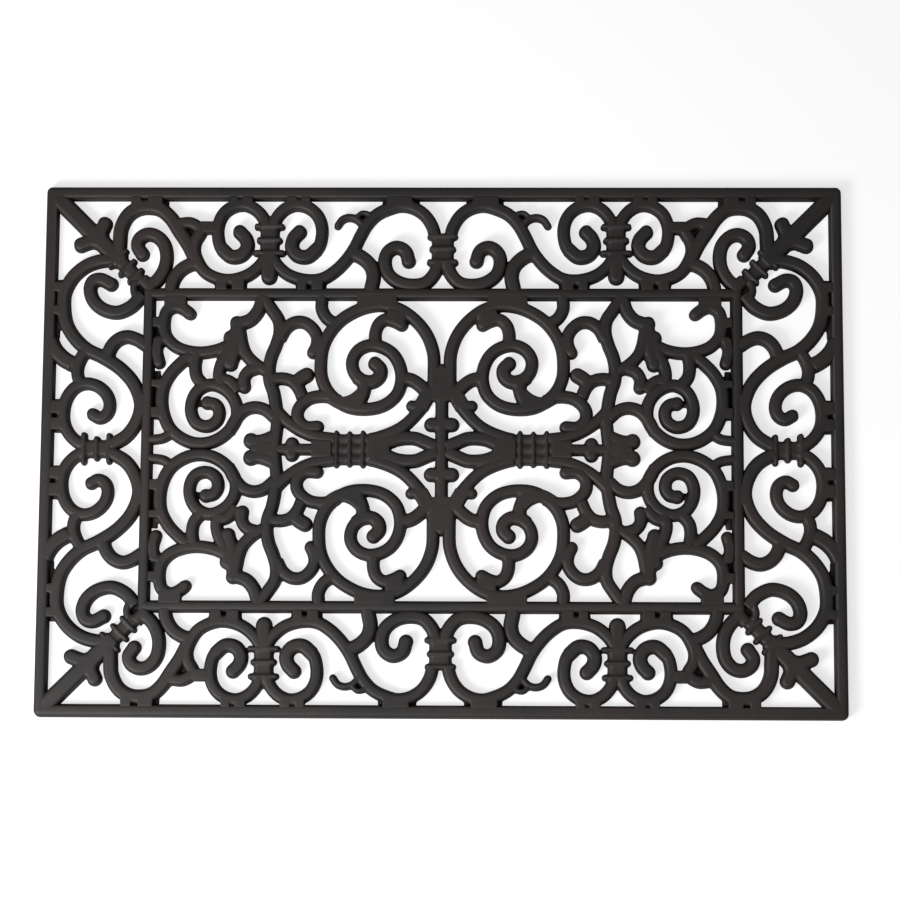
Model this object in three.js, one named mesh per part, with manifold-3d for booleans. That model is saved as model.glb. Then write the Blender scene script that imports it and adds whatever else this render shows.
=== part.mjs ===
// Openwork rubber door mat, moulded to look like a wrought-iron grille, in millimetres with +Z up.
// It lies flat on z = 0 with its middle at the origin: long side along X, back edge at +Y.
// A rail runs round the edge and a second one inside it; the border between them and the field
// within are filled with scrollwork. The pattern is drawn for one quarter and mirrored twice.

import * as THREE from 'three';
import { mergeVertices } from 'three/addons/utils/BufferGeometryUtils.js';
import Module from 'manifold-3d';

const wasm = await Module();
wasm.setup();

// Overall sizes.
const matLength = 600;
const matWidth = 400;
const railHeight = 9;
const scrollHeight = 9;

// Heights of what lies lower than the ribs that cross it.
const collarHeight = 8.2;
const neckHeight = 8;
const strandHeight = 8;
const bundleHeight = 7.2;

// Rails and the two border strips between them.
const outerRailWidth = 10;
const innerRailWidth = 9.5;
const sideBorderWidth = 65;
const longBorderWidth = 67.5;
const cornerRadius = 5;
const cornerSegments = 4;

// Bars of the scrollwork, measured at the foot. Every wall leans in by the draft.
const draft = 1.1;
const scrollWidth = 10;
const legWidth = 10.2;
const wideWidth = 10.8;
const spearWidth = 14;
const spearNeckWidth = 11.6;
const voluteRootWidth = 15;
const spineWidth = 10;
const spineCrownWidth = 18;
const crossLobeWidth = 11.2;
const railLeafWidth = 12;
const railHookWidth = 8;
const railLobeWidth = 9.6;
const waveHookWidth = 11.4;
const tendrilWidth = 5.2;
const curlWidth = 4.2;
const archSeatWidth = 6;
const stemSeatWidth = 6;
const armSeatWidth = 7;
const bundleLobeWidth = 8;

// Collars: a neck with three ribs across it, which stand as high as the rails.
const palmetteNeckWidth = 15;
const palmetteCrotchWidth = 14;
const finialWidth = 11;
const longNeckWidth = 17;
const sideNeckWidth = 14;
const bundleWidth = 23.4;
const bundleHeadWidth = 17.5;
const bundleTailWidth = 20;
const strandWidth = 8.4;
const ribWidth = 5.2;
const cornerRibWidth = 4.8;
const bundleRibWidth = 4.2;
const axleWidth = 9.2;
const axlePlaqueWidth = 14;
const trefoilWidth = 10.4;

// Round ends and beads.
const bulbRadius = 5.1;
const voluteBulbRadius = 5.6;
const petalRadius = 5.6;
const finialRadius = 5.4;
const leafLobeRadius = 5.6;
const axleBeadRadius = 5.4;
const coilRadius = 4.7;

// Lugs: short bars along a rail that bridge the slot between it and a curve that runs close by.
const lugWidth = 9.6;

// The moulding is divided into its members with this clearance between them.
const seam = 0.3;

// How finely curves are divided.
const chordError = 1.1;
const samplesPerSpan = 16;
const beadSides = 10;
const bulbCapAngles = [50, 90];
const ribCapAngles = [90];
const capTipShare = 0.4;
const tightestShare = 0.9;
const sectionSides = 4;
const flatTolerance = 0.08;

const rubber = { color: 0x383432, roughness: 0.72, metalness: 0 };

// The pattern is drawn on squared paper that covers one quarter, from the outer corner to the
// middle of the mat. A point is [column, row] in hundredths of half the drawn length.
// These are the drawn places of the rail faces and of the middle lines.
const columnKnotShares = [0, 3.33, 25, 28.17, 100];
const rowKnotShares = [0, 3.33, 25.83, 29, 66.67];

const columnEdges = edgesOf(sideBorderWidth, matLength);
const rowEdges = edgesOf(longBorderWidth, matWidth);

function edgesOf(borderWidth, fullSize) {
  const innerRail = outerRailWidth + borderWidth;
  return [0, outerRailWidth, innerRail, innerRail + innerRailWidth, fullSize / 2];
}

const MIDDLE_COLUMN = columnKnotShares.at(-1);
const MIDDLE_ROW = rowKnotShares.at(-1);

// Corner: a spear on the diagonal with two petals and a collar, a long outer arm to each side
// and a volute on each side of the collar.
const spearShares = {
  stem: [[1.6, 1.6], [19.4, 19.4]],
  petal: [[13.7, 13.7], [14.4, 11.5], [15.2, 9.7]],
  neck: [[17.3, 17.3], [24.5, 24.5]],
  ribs: [[20.4, 16.6], [22.5, 19.2], [24.4, 21.5]],
};
const cornerVoluteShares = {
  long: [[26.3, 25.7], [28.5, 24], [30.2, 21.3], [30.8, 18.2], [30.2, 14.8], [28.3, 12.6], [26, 12.1],
    [24, 13.2], [23.4, 15], [24.7, 17.2]],
  side: [[25.3, 25.7], [24.3, 27.8], [22.2, 30.4], [18.8, 32.1], [15, 31.2], [12.5, 28.9],
    [11.7, 26], [12.6, 24.1], [14.5, 23.7], [17, 24.9]],
  root: [[24.3, 24.3], [27.6, 27.6]],
};
const cornerArmShares = {
  long: [[18.7, 18], [19, 14], [19.3, 10.7], [21, 7.5], [23.7, 5.7], [26.3, 5.2], [29.2, 5.8],
    [31.7, 7.8], [33.9, 11.1], [36.2, 14.6], [38, 18.2], [38.6, 19.4]],
  leaf: [[32.3, 9.9], [34.7, 9.4], [36.9, 9.3], [39, 10.5], [39.8, 12]],
  longLugs: [[[22.2, 4], [24.4, 4]], [[26.1, 4], [29.8, 4]]],
  side: [[18, 18.7], [14.3, 18.9], [10.6, 20.2], [7.2, 23.1], [5.2, 27], [5, 30.7], [5.8, 35.1],
    [8, 38.7], [11.1, 41.5], [15, 43.4], [19.6, 46.4], [23.1, 50.4], [24.8, 55.3], [24.1, 59.4],
    [21.6, 63.3], [17.4, 65.9]],
  link: [[11.3, 41.3], [9.7, 43.7], [8.8, 46.3], [9, 48.7], [10.3, 50.7]],
  seat: [[25.3, 52.8], [25.3, 57.8]],
  railLeaf: [[2, 37], [2.8, 39.8], [4.1, 42.6], [6, 44.8], [8.2, 46.3]],
  hook: [[26.9, 41], [25.7, 40.3], [23.7, 39], [21.3, 38.3], [19, 39], [17.3, 40.7], [16.3, 43]],
  sideLugs: [[[4, 24], [4, 27]], [[4, 31.2], [4, 32.8]]],
};

// Long border: a palmette of two coils on a collar, its two lower arms, of which the inner one
// runs on as a wave, and a pair of volutes on a collar at the middle of the side.
const PALMETTE_AXIS = 56.8;
const palmetteShares = {
  coil: [[55.9, 10], [55.3, 8.2], [53.8, 6.2], [52, 5], [50, 4.5], [47.3, 5.1], [45.1, 6.8],
    [43.9, 9.3], [43.7, 12.3], [44.7, 15.7], [47.3, 17.7], [49.7, 17.2], [51.1, 15.2],
    [50.7, 13.2], [49.2, 11.5]],
  neck: [[PALMETTE_AXIS, 9], [PALMETTE_AXIS, 17.8]],
  crotch: [[PALMETTE_AXIS, 17], [PALMETTE_AXIS, 20]],
  ribs: [[53.7, 10.2], [54.3, 13.7], [53.5, 17]],
  finial: [[PALMETTE_AXIS, 18.7], [PALMETTE_AXIS, 22.9]],
  lugs: [[[46.5, 3.9], [48.8, 3.9]], [[50, 3.9], [52.6, 3.9]]],
};
const borderArmShares = {
  arm: [[56, 17.7], [54.3, 20.2], [51.3, 22.6], [47, 23.8], [43.6, 23.3], [40.5, 21.6],
    [38.6, 18.8], [37.8, 16.3], [38.1, 13.9], [39.4, 12], [41.2, 10.6], [43.7, 10.3]],
  hook: [[39.3, 19.3], [36.6, 20], [34.3, 21.5], [32.8, 23.7], [32.2, 25.9], [32.2, 27.2]],
  lugs: [[[43.6, 25.2], [46.3, 25.2]], [[47.5, 25.2], [50.6, 25.2]]],
};
const borderWaveShares = {
  wave: [[57.3, 17.7], [59, 20.2], [62, 22.6], [66.3, 23.8], [70, 23.5], [73.2, 21.6],
    [75.8, 18.8], [78, 15.6], [79.6, 12.3], [81.3, 9.3], [83.7, 6.8], [86.7, 5.3], [89.8, 4.7],
    [92.9, 5.1], [95.6, 6.9], [97.4, 9.6], [98.3, 12.7]],
  hook: [[76.5, 16.4], [79.8, 17.6], [82.2, 19.8], [83, 22.6], [82.5, 25.7], [82.3, 27.2]],
  tendril: [[73.9, 9.7], [75, 8.2], [76.7, 7.6], [78.5, 8], [80, 9.4], [80.8, 11]],
  curl: [[83, 7.9], [81.5, 6.8], [80, 6.6], [78.8, 7.5]],
  lugs: [[[86.2, 3.9], [92.6, 3.9]], [[64, 25.2], [66.3, 25.2]], [[67.5, 25.2], [70.4, 25.2]]],
};
const longCentreShares = {
  volute: [[99, 19], [98, 22], [95.7, 24.5], [92.3, 25.1], [89, 24.3], [86.4, 22.2], [85.5, 19.3],
    [86.1, 16.9], [88.3, 15.4], [90.8, 16.3], [91.8, 19]],
  neck: [[MIDDLE_COLUMN, 12.8], [MIDDLE_COLUMN, 20.3]],
  ribs: [[96.9, 12.7], [97.4, 15.9], [96.8, 19.3]],
};

// Side border: a pair of volutes on a collar at the middle of the short side.
const sideCentreShares = {
  volute: [[11.3, 66], [9, 64.8], [7, 62.8], [5.8, 60.2], [5.6, 57], [6.4, 53.8], [8.3, 51.3],
    [11, 50.2], [13.9, 50.8], [16.3, 53], [17.1, 55.7], [16.5, 57.9], [14.8, 58.9], [13, 58]],
  neck: [[9.5, MIDDLE_ROW], [19.3, MIDDLE_ROW]],
  lugs: [[[4, 54.7], [4, 57.3]], [[4, 59.3], [4, 62]]],
  ribs: [[11, 63.3], [14.2, 64.3], [17.3, 63.5]],
};

// Field: a spine with cross lobes, a ribbed bundle on each side, a great scroll, a leg, a leaf
// trunk and a small spiral in each quarter.
const spineShares = {
  spine: [[MIDDLE_COLUMN, 46.6], [MIDDLE_COLUMN, MIDDLE_ROW]],
  crown: [[MIDDLE_COLUMN, 46.2], [MIDDLE_COLUMN, 55.2]],
  lobe: [[MIDDLE_COLUMN, 60.4], [97.4, 60.4]],
};
const bundleShares = {
  body: [[72, MIDDLE_ROW], [83, MIDDLE_ROW]],
  head: [[68, MIDDLE_ROW], [73, MIDDLE_ROW]],
  tail: [[81.8, MIDDLE_ROW], [86, MIDDLE_ROW]],
  ribs: [[74.2, 62.6], [77.5, 62.8], [80.8, 62.6]],
  lowerArm: [[97.7, 51.7], [96.3, 54.5], [94.8, 56.7], [91.3, 60.4], [88.2, 62.3], [84, 63.8],
    [82.5, 64.1]],
  eyeArm: [[82.5, 65.6], [87, 64.9], [88.9, 64.1], [91.3, 63.6], [93.6, 63.9], [95.6, 64.8], [99, 66]],
  strands: [[[72.5, 64.1], [82.5, 64.1]], [[72.5, MIDDLE_ROW], [82.5, MIDDLE_ROW]]],
  lobe: [[95.2, 56.1], [92.5, 55.6]],
  axle: [[51.8, MIDDLE_ROW], [71, MIDDLE_ROW]],
  bead: [63.1, 65.3],
  trefoil: [[57.3, 64.6], [55.3, 64.8], [52.7, 64.6]],
  plaque: [[54.2, MIDDLE_ROW], [58.5, MIDDLE_ROW]],
};
const greatScrollShares = {
  scroll: [[98.3, 53.6], [98, 51], [98, 47], [97.8, 42.2], [96.1, 37.5], [93, 33.7], [89.3, 31.2],
    [85.3, 30.2], [81.3, 30.6], [77.7, 32], [74.3, 34.2], [71.6, 37.3], [70, 40.8], [69.5, 44.7],
    [69.8, 48.7], [71.8, 52.5], [76.3, 55.8], [81.3, 56.5], [85.8, 55.4], [88.8, 52.7], [89.9, 49],
    [89.4, 45.4], [87.6, 42.4], [84.7, 40.7], [81.7, 40.4], [79, 41.7], [77.6, 44.2], [78, 47],
    [80, 49.3], [82.7, 49.6], [84.4, 48.3], [84.7, 46.3], [83.3, 45]],
  topStem: [[89.9, 35.2], [88.2, 34.3], [85.9, 33.8], [84.1, 35], [83.3, 37.2], [83.3, 39.7]],
  seat: [[86.3, 32.4], [90.6, 33.4]],
  bottomStem: [[80.6, 49.3], [80.5, 52], [79.5, 54.6], [79.2, 56]],
  branch: [[89.7, 48.8], [92.4, 49.1], [94.9, 50.8], [96.7, 53]],
  hook: [[74.3, 54.4], [72.2, 53.5], [69.7, 53.3], [67.2, 53.8], [65.2, 55.2], [64.1, 57], [64.3, 59.3],
    [66.2, 61], [68.7, 61.1]],
  railHook: [[69.8, 27.4], [69.8, 28.7], [69.8, 31], [71, 33.3], [73, 34.8]],
  lugs: [[[78.7, 29.3], [81.7, 29.3]], [[85, 29.3], [88.7, 29.3]]],
};
const legShares = {
  leg: [[54.8, 27.6], [55.7, 29], [57.3, 31.3], [59, 34], [59.3, 37], [58.5, 40.2], [57.3, 43.3],
    [56.8, 46.3], [57, 49.4], [58, 52.3], [58.7, 56.2], [59, 60], [58.7, 63.3], [58.3, 67]],
  arch: [[59.4, 38.8], [60.9, 36.1], [63.1, 34.6], [65.5, 34.6], [67.5, 36], [68.7, 38.2],
    [68.6, 40.3], [67.8, 42.2]],
  archSeat: [[69.6, 38.4], [69.3, 42.4]],
  branch: [[57, 49.3], [60, 48.8], [62.5, 49.4], [64.2, 51.2], [65.3, 53.7]],
  knob: [[63.3, 50.7], [64.8, 48.8], [66.5, 47.7]],
  arm: [[58.6, 56.7], [60.8, 59], [63.1, 60.8], [65.7, 62.3], [68.7, 63.4], [73.6, 64.1]],
};
const smallSpiralShares = {
  spiral: [[37.3, 42.8], [34.5, 45.2], [32.2, 47.7], [30.5, 51], [30.1, 54.7], [30.7, 58.2],
    [32.3, 61.5], [35.1, 63.9], [38.7, 65.2], [42.3, 65], [45.4, 63.5], [47.7, 61.1], [48.9, 58.3],
    [48.5, 54.8], [46.2, 51.8], [42.7, 50.4], [39.5, 51.5], [37.5, 54.2], [37.2, 57.5], [38.8, 60.4],
    [41.8, 61.2], [44, 59.7], [44.3, 57], [41.2, 55.2]],
  stem: [[39, 42], [38.3, 45.2], [38.7, 48.3], [40.7, 50.7]],
  band: [[46.9, 62.5], [48.7, 59.1], [50.8, 56.9], [53.4, 56.1], [56, 56.7], [58.6, 58.9]],
  railHook: [[26.6, 64.4], [28, 64.3], [30.7, 63.9], [32.7, 62.7]],
  lugs: [[[29, 49.4], [29, 51.2]], [[29, 56.3], [29, 58.9]]],
};
const leafTrunkShares = {
  rootLeg: [[55, 27.4], [54.6, 29], [53.5, 31.4], [51.7, 33.5], [48.9, 34.8]],
  lobe: [48.7, 34.4],
  trunkLeft: [[48.6, 34.3], [47.1, 37], [46.3, 39.6], [45.6, 42.7], [44.8, 45.3], [44.3, 47.7],
    [44.8, 50.7]],
  trunkMiddle: [[48.7, 34.3], [48.5, 38.3], [48.3, 42.7], [47.9, 46.6]],
  trunkRight: [[48.8, 34.7], [49.1, 37.3], [49.5, 40.3], [50.5, 43.1], [53.2, 45.7], [56.4, 47.4]],
  knob: [[54, 46.2], [51.8, 47], [50.6, 48.8], [50.7, 51]],
  bridge: [[44.7, 49], [47, 49.6], [49.3, 52.2]],
  coil: [[36.9, 32.5], [35.3, 31.3], [33.2, 30.6], [31, 31.8], [30.3, 34.8], [30.8, 38],
    [33, 40.5], [36.3, 41.9], [40, 42.3], [43.7, 41.7], [46, 40.8]],
  railLobe: [[29.7, 38.6], [28.6, 41.6], [29.3, 44.9]],
  lugs: [[[29, 34.2], [29, 36.4]], [[31.8, 29.4], [36, 29.4]]],
};

const SIDES = [
  { name: 'back_left', x: -1, y: 1 },
  { name: 'back_right', x: 1, y: 1 },
  { name: 'front_left', x: -1, y: -1 },
  { name: 'front_right', x: 1, y: -1 },
];

// Where a drawn share lies on the real mat, between the rail faces that enclose it.
function warped(share, knotShares, edges) {
  let span = 1;
  while (span < knotShares.length - 1 && share > knotShares[span]) {
    span += 1;
  }
  const along = (share - knotShares[span - 1]) / (knotShares[span] - knotShares[span - 1]);
  return edges[span - 1] + along * (edges[span] - edges[span - 1]);
}

function placed([columnShare, rowShare], side) {
  const inFromEnd = warped(columnShare, columnKnotShares, columnEdges);
  const inFromEdge = warped(rowShare, rowKnotShares, rowEdges);
  return new THREE.Vector3(side.x * (matLength / 2 - inFromEnd), side.y * (matWidth / 2 - inFromEdge), 0);
}

// A closed solid from a three.js geometry.
function solidOf(geometry) {
  const bare = new THREE.BufferGeometry();
  bare.setAttribute('position', geometry.getAttribute('position'));
  bare.setIndex(geometry.getIndex());
  const merged = mergeVertices(bare);
  return new wasm.Manifold(new wasm.Mesh({
    numProp: 3,
    vertProperties: new Float32Array(merged.getAttribute('position').array),
    triVerts: new Uint32Array(merged.getIndex().array),
  }));
}

function union(solids) {
  return solids.reduce((whole, next) => whole.add(next));
}

// Stations along a curve, closer together where it bends.
function stationsAlong(curve, spans, halfWidth) {
  const count = spans * samplesPerSpan;
  const samples = Array.from({ length: count + 1 }, (_, i) => ({
    position: curve.getPoint(i / count),
    direction: curve.getTangent(i / count),
  }));
  const stations = [samples[0]];
  let last = 0;
  for (let i = 1; i <= count; i += 1) {
    const turn = samples[last].direction.angleTo(samples[i].direction);
    const length = samples[last].position.distanceTo(samples[i].position);
    const outerRadius = length / Math.max(turn, Number.EPSILON) + halfWidth;
    const sag = outerRadius * (1 - Math.cos(turn / 2));
    if (sag > chordError && i - 1 > last) {
      last = i - 1;
      stations.push(samples[last]);
    }
  }
  stations.push(samples[count]);
  return stations;
}

// How sharply the stations turn left (positive) or right at one of them, as one over a radius.
function bendAt(stations, index) {
  const before = stations[Math.max(index - 1, 0)];
  const after = stations[Math.min(index + 1, stations.length - 1)];
  const cross = before.direction.x * after.direction.y - before.direction.y * after.direction.x;
  const length = before.position.distanceTo(after.position);
  return Math.asin(THREE.MathUtils.clamp(cross, -1, 1)) / length;
}

// Rows of left and right offsets that round off an end with the given radius.
function capRows(station, radius, outward, angles) {
  return angles.map((degrees, i) => {
    const angle = THREE.MathUtils.degToRad(degrees);
    const tip = i === angles.length - 1;
    const position = station.position.clone();
    position.addScaledVector(station.direction, outward * radius * Math.sin(angle));
    const half = tip ? radius * capTipShare : radius * Math.cos(angle);
    return { position, direction: station.direction, left: half, right: half };
  });
}

// A drafted bar along points: four corners at each row, joined to the next row's.
function stroke(shares, side, options = {}) {
  const { width = scrollWidth, height = scrollHeight, grow = 0 } = options;
  const { startRadius = 0, endRadius = 0, capAngles = bulbCapAngles } = options;
  const points = shares.map((share) => placed(share, side));
  const curve = new THREE.CatmullRomCurve3(points, false, 'centripetal');
  const half = width / 2 + grow;
  const stations = stationsAlong(curve, points.length - 1, width / 2);
  const rows = stations.map((station, i) => {
    const bend = bendAt(stations, i);
    const tightest = tightestShare / Math.max(Math.abs(bend), Number.EPSILON);
    const inner = Math.min(half, tightest);
    return { ...station, left: bend > 0 ? inner : half, right: bend < 0 ? inner : half };
  });
  if (startRadius > 0) {
    rows.unshift(...capRows(rows[0], startRadius + grow, -1, capAngles).reverse());
  } else {
    rows[0].position.addScaledVector(rows[0].direction, -grow);
  }
  if (endRadius > 0) {
    rows.push(...capRows(rows.at(-1), endRadius + grow, 1, capAngles));
  } else {
    rows.at(-1).position.addScaledVector(rows.at(-1).direction, grow);
  }
  return solidOf(barGeometry(rows, height, grow));
}

function barGeometry(rows, height, grow) {
  const bottom = -grow;
  const top = height + grow;
  const positions = rows.flatMap(({ position, direction, left, right }) => {
    const across = new THREE.Vector2(-direction.y, direction.x).normalize();
    const corner = (offset, z) => [position.x + across.x * offset, position.y + across.y * offset, z];
    const inset = Math.min(draft, left / 2, right / 2);
    return [
      ...corner(left, bottom),
      ...corner(left - inset, top),
      ...corner(inset - right, top),
      ...corner(-right, bottom),
    ];
  });
  const indices = [0, 2, 1, 0, 3, 2];
  for (let row = 0; row < rows.length - 1; row += 1) {
    for (let k = 0; k < sectionSides; k += 1) {
      const a = row * sectionSides + k;
      const b = row * sectionSides + (k + 1) % sectionSides;
      indices.push(a, b, a + sectionSides, b, b + sectionSides, a + sectionSides);
    }
  }
  const end = (rows.length - 1) * sectionSides;
  indices.push(end, end + 1, end + 2, end, end + 2, end + 3);
  const geometry = new THREE.BufferGeometry();
  geometry.setAttribute('position', new THREE.Float32BufferAttribute(positions, 3));
  geometry.setIndex(indices);
  return geometry;
}

// A round drafted bead.
function bead(share, radius, side, { height = scrollHeight, grow = 0 } = {}) {
  const profile = [
    new THREE.Vector2(0, -grow),
    new THREE.Vector2(radius + grow, -grow),
    new THREE.Vector2(radius + grow - draft, height + grow),
    new THREE.Vector2(0, height + grow),
  ];
  const geometry = new THREE.LatheGeometry(profile, beadSides);
  geometry.rotateX(Math.PI / 2);
  const centre = placed(share, side);
  geometry.translate(centre.x, centre.y, 0);
  return solidOf(geometry);
}

// A rib across a bar: from the drawn end to the same distance beyond the bar's axis.
function ribTo(endShare, mirroredShare, side, options) {
  const width = options.width ?? ribWidth;
  const ends = { startRadius: width / 2, endRadius: width / 2, capAngles: ribCapAngles };
  return stroke([endShare, mirroredShare], side, { ...options, ...ends, width, height: railHeight });
}

function lugBars(lugShares, side, grow) {
  return lugShares.map((ends) => stroke(ends, side, { grow, width: lugWidth }));
}

const swapped = ([column, row]) => [row, column];
const acrossPalmette = ([column, row]) => [2 * PALMETTE_AXIS - column, row];
const toMiddleColumn = ([, row]) => [MIDDLE_COLUMN, row];
const toMiddleRow = ([column]) => [column, MIDDLE_ROW];

function cornerSpear(side, grow) {
  return [
    stroke(spearShares.stem, side, { grow, width: spearWidth }),
    stroke(spearShares.petal, side, { grow, width: wideWidth, endRadius: petalRadius }),
    stroke(spearShares.petal.map(swapped), side, { grow, width: wideWidth, endRadius: petalRadius }),
    stroke(spearShares.neck, side, { grow, width: spearNeckWidth, height: collarHeight }),
    ...spearShares.ribs.map((end) => ribTo(end, swapped(end), side, { grow, width: cornerRibWidth })),
  ];
}

function cornerVolutes(side, grow) {
  return [
    stroke(cornerVoluteShares.long, side, { grow, width: wideWidth, endRadius: voluteBulbRadius }),
    stroke(cornerVoluteShares.side, side, { grow, width: wideWidth, endRadius: voluteBulbRadius }),
    stroke(cornerVoluteShares.root, side, { grow, width: voluteRootWidth }),
  ];
}

function cornerArmLong(side, grow) {
  return [
    stroke(cornerArmShares.long, side, { grow, width: wideWidth }),
    stroke(cornerArmShares.leaf, side, { grow }),
    ...lugBars(cornerArmShares.longLugs, side, grow),
  ];
}

function cornerArmSide(side, grow) {
  return [
    stroke(cornerArmShares.side, side, { grow, width: wideWidth }),
    stroke(cornerArmShares.link, side, { grow }),
    stroke(cornerArmShares.seat, side, { grow, width: armSeatWidth }),
    stroke(cornerArmShares.railLeaf, side, { grow, width: railLeafWidth }),
    stroke(cornerArmShares.hook, side, { grow, width: wideWidth }),
    ...lugBars(cornerArmShares.sideLugs, side, grow),
  ];
}

function palmette(side, grow) {
  return [
    stroke(palmetteShares.coil, side, { grow, endRadius: bulbRadius }),
    stroke(palmetteShares.coil.map(acrossPalmette), side, { grow, endRadius: bulbRadius }),
    stroke(palmetteShares.neck, side, { grow, width: palmetteNeckWidth, height: neckHeight }),
    stroke(palmetteShares.crotch, side, { grow, width: palmetteCrotchWidth }),
    stroke(palmetteShares.finial, side, { grow, width: finialWidth, endRadius: finialRadius }),
    ...palmetteShares.ribs.map((end) => ribTo(end, acrossPalmette(end), side, { grow })),
    ...lugBars(palmetteShares.lugs, side, grow),
    ...lugBars(palmetteShares.lugs.map((ends) => ends.map(acrossPalmette)), side, grow),
  ];
}

function borderArm(side, grow) {
  return [
    stroke(borderArmShares.arm, side, { grow }),
    stroke(borderArmShares.hook, side, { grow, width: wideWidth }),
    ...lugBars(borderArmShares.lugs, side, grow),
  ];
}

function borderWave(side, grow) {
  return [
    stroke(borderWaveShares.wave, side, { grow }),
    stroke(borderWaveShares.hook, side, { grow, width: waveHookWidth }),
    stroke(borderWaveShares.tendril, side, { grow, width: tendrilWidth, startRadius: tendrilWidth / 2 }),
    stroke(borderWaveShares.curl, side, { grow, width: curlWidth }),
    ...lugBars(borderWaveShares.lugs, side, grow),
  ];
}

function longCentre(side, grow) {
  return [
    stroke(longCentreShares.volute, side, { grow, endRadius: bulbRadius }),
    stroke(longCentreShares.neck, side, { grow, width: longNeckWidth, height: neckHeight }),
    ...longCentreShares.ribs.map((end) => ribTo(end, toMiddleColumn(end), side, { grow })),
  ];
}

function sideCentre(side, grow) {
  return [
    stroke(sideCentreShares.volute, side, { grow, endRadius: bulbRadius }),
    stroke(sideCentreShares.neck, side, { grow, width: sideNeckWidth, height: neckHeight }),
    ...sideCentreShares.ribs.map((end) => ribTo(end, toMiddleRow(end), side, { grow })),
    ...lugBars(sideCentreShares.lugs, side, grow),
  ];
}

function spine(side, grow) {
  return [
    stroke(spineShares.spine, side, { grow, width: spineWidth, startRadius: spineWidth / 2 }),
    stroke(spineShares.crown, side, { grow, width: spineCrownWidth }),
    stroke(spineShares.lobe, side, { grow, width: crossLobeWidth, endRadius: crossLobeWidth / 2 }),
  ];
}

function sideBundle(side, grow) {
  const rib = { grow, width: bundleRibWidth };
  const strand = { grow, width: strandWidth, height: strandHeight };
  const lobe = { grow, width: bundleLobeWidth, endRadius: bundleLobeWidth / 2 };
  return [
    stroke(bundleShares.body, side, { grow, width: bundleWidth, height: bundleHeight }),
    stroke(bundleShares.head, side, { grow, width: bundleHeadWidth }),
    stroke(bundleShares.tail, side, { grow, width: bundleTailWidth }),
    ...bundleShares.strands.map((ends) => stroke(ends, side, strand)),
    ...bundleShares.ribs.map((end) => ribTo(end, toMiddleRow(end), side, rib)),
    stroke(bundleShares.lowerArm, side, { grow }),
    stroke(bundleShares.eyeArm, side, { grow, width: wideWidth }),
    stroke(bundleShares.lobe, side, lobe),
    stroke(bundleShares.axle, side, { grow, width: axleWidth }),
    bead(bundleShares.bead, axleBeadRadius, side, { grow }),
    stroke(bundleShares.trefoil, side, { grow, width: trefoilWidth, endRadius: trefoilWidth / 2 }),
    stroke(bundleShares.plaque, side, { grow, width: axlePlaqueWidth }),
  ];
}

function greatScroll(side, grow) {
  return [
    stroke(greatScrollShares.scroll, side, { grow, endRadius: bulbRadius }),
    stroke(greatScrollShares.topStem, side, { grow, startRadius: bulbRadius }),
    stroke(greatScrollShares.seat, side, { grow, width: stemSeatWidth }),
    stroke(greatScrollShares.bottomStem, side, { grow, width: wideWidth }),
    stroke(greatScrollShares.branch, side, { grow, width: wideWidth }),
    stroke(greatScrollShares.hook, side, { grow, endRadius: bulbRadius }),
    stroke(greatScrollShares.railHook, side, { grow }),
    ...lugBars(greatScrollShares.lugs, side, grow),
  ];
}

function leg(side, grow) {
  return [
    stroke(legShares.leg, side, { grow, width: legWidth }),
    stroke(legShares.arch, side, { grow, endRadius: bulbRadius }),
    stroke(legShares.archSeat, side, { grow, width: archSeatWidth }),
    stroke(legShares.branch, side, { grow }),
    stroke(legShares.knob, side, { grow, endRadius: bulbRadius }),
    stroke(legShares.arm, side, { grow }),
  ];
}

function smallSpiral(side, grow) {
  return [
    stroke(smallSpiralShares.spiral, side, { grow, endRadius: voluteBulbRadius }),
    stroke(smallSpiralShares.stem, side, { grow }),
    stroke(smallSpiralShares.band, side, { grow }),
    stroke(smallSpiralShares.railHook, side, { grow, width: railHookWidth }),
    ...lugBars(smallSpiralShares.lugs, side, grow),
  ];
}

function leafTrunk(side, grow) {
  return [
    stroke(leafTrunkShares.rootLeg, side, { grow, width: wideWidth }),
    bead(leafTrunkShares.lobe, leafLobeRadius, side, { grow }),
    stroke(leafTrunkShares.trunkLeft, side, { grow }),
    stroke(leafTrunkShares.trunkMiddle, side, { grow, width: wideWidth }),
    stroke(leafTrunkShares.trunkRight, side, { grow }),
    stroke(leafTrunkShares.knob, side, { grow, endRadius: bulbRadius }),
    stroke(leafTrunkShares.bridge, side, { grow }),
    stroke(leafTrunkShares.coil, side, { grow, startRadius: coilRadius }),
    stroke(leafTrunkShares.railLobe, side, { grow, width: railLobeWidth, endRadius: railLobeWidth / 2 }),
    ...lugBars(leafTrunkShares.lugs, side, grow),
  ];
}

// A straight rail with mitred ends, drawn along X with its outer face at `reach` from the middle.
// `run` is half the ring's length there; rounding is the radius of the ring's outer corners.
function railGeometry({ run, reach, width, rounding }, grow) {
  const gap = (seam / 2 - grow) * Math.SQRT2;
  const outline = (inset) => {
    const outer = reach + grow - inset;
    const inner = reach - width - grow + inset;
    const radius = rounding > 0 ? rounding + grow - inset : 0;
    const steps = rounding > 0 ? cornerSegments : 0;
    const centre = new THREE.Vector2(run - rounding, reach - rounding);
    const corner = Array.from({ length: steps + 1 }, (_, i) => {
      const angle = (Math.PI / 4) * (1 + i / Math.max(steps, 1));
      return new THREE.Vector2(centre.x + radius * Math.cos(angle), centre.y + radius * Math.sin(angle));
    });
    const outerEnd = rounding > 0 ? corner : [new THREE.Vector2(run + outer - reach, outer)];
    const right = [new THREE.Vector2(run + inner - reach, inner), ...outerEnd];
    const mitred = right.map((p) => new THREE.Vector2(Math.min(p.x, p.y + run - reach - gap), p.y));
    return [...mitred, ...mitred.map((p) => new THREE.Vector2(-p.x, p.y)).reverse()];
  };
  return loft(outline(0), outline(draft), -grow, railHeight + grow);
}

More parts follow.
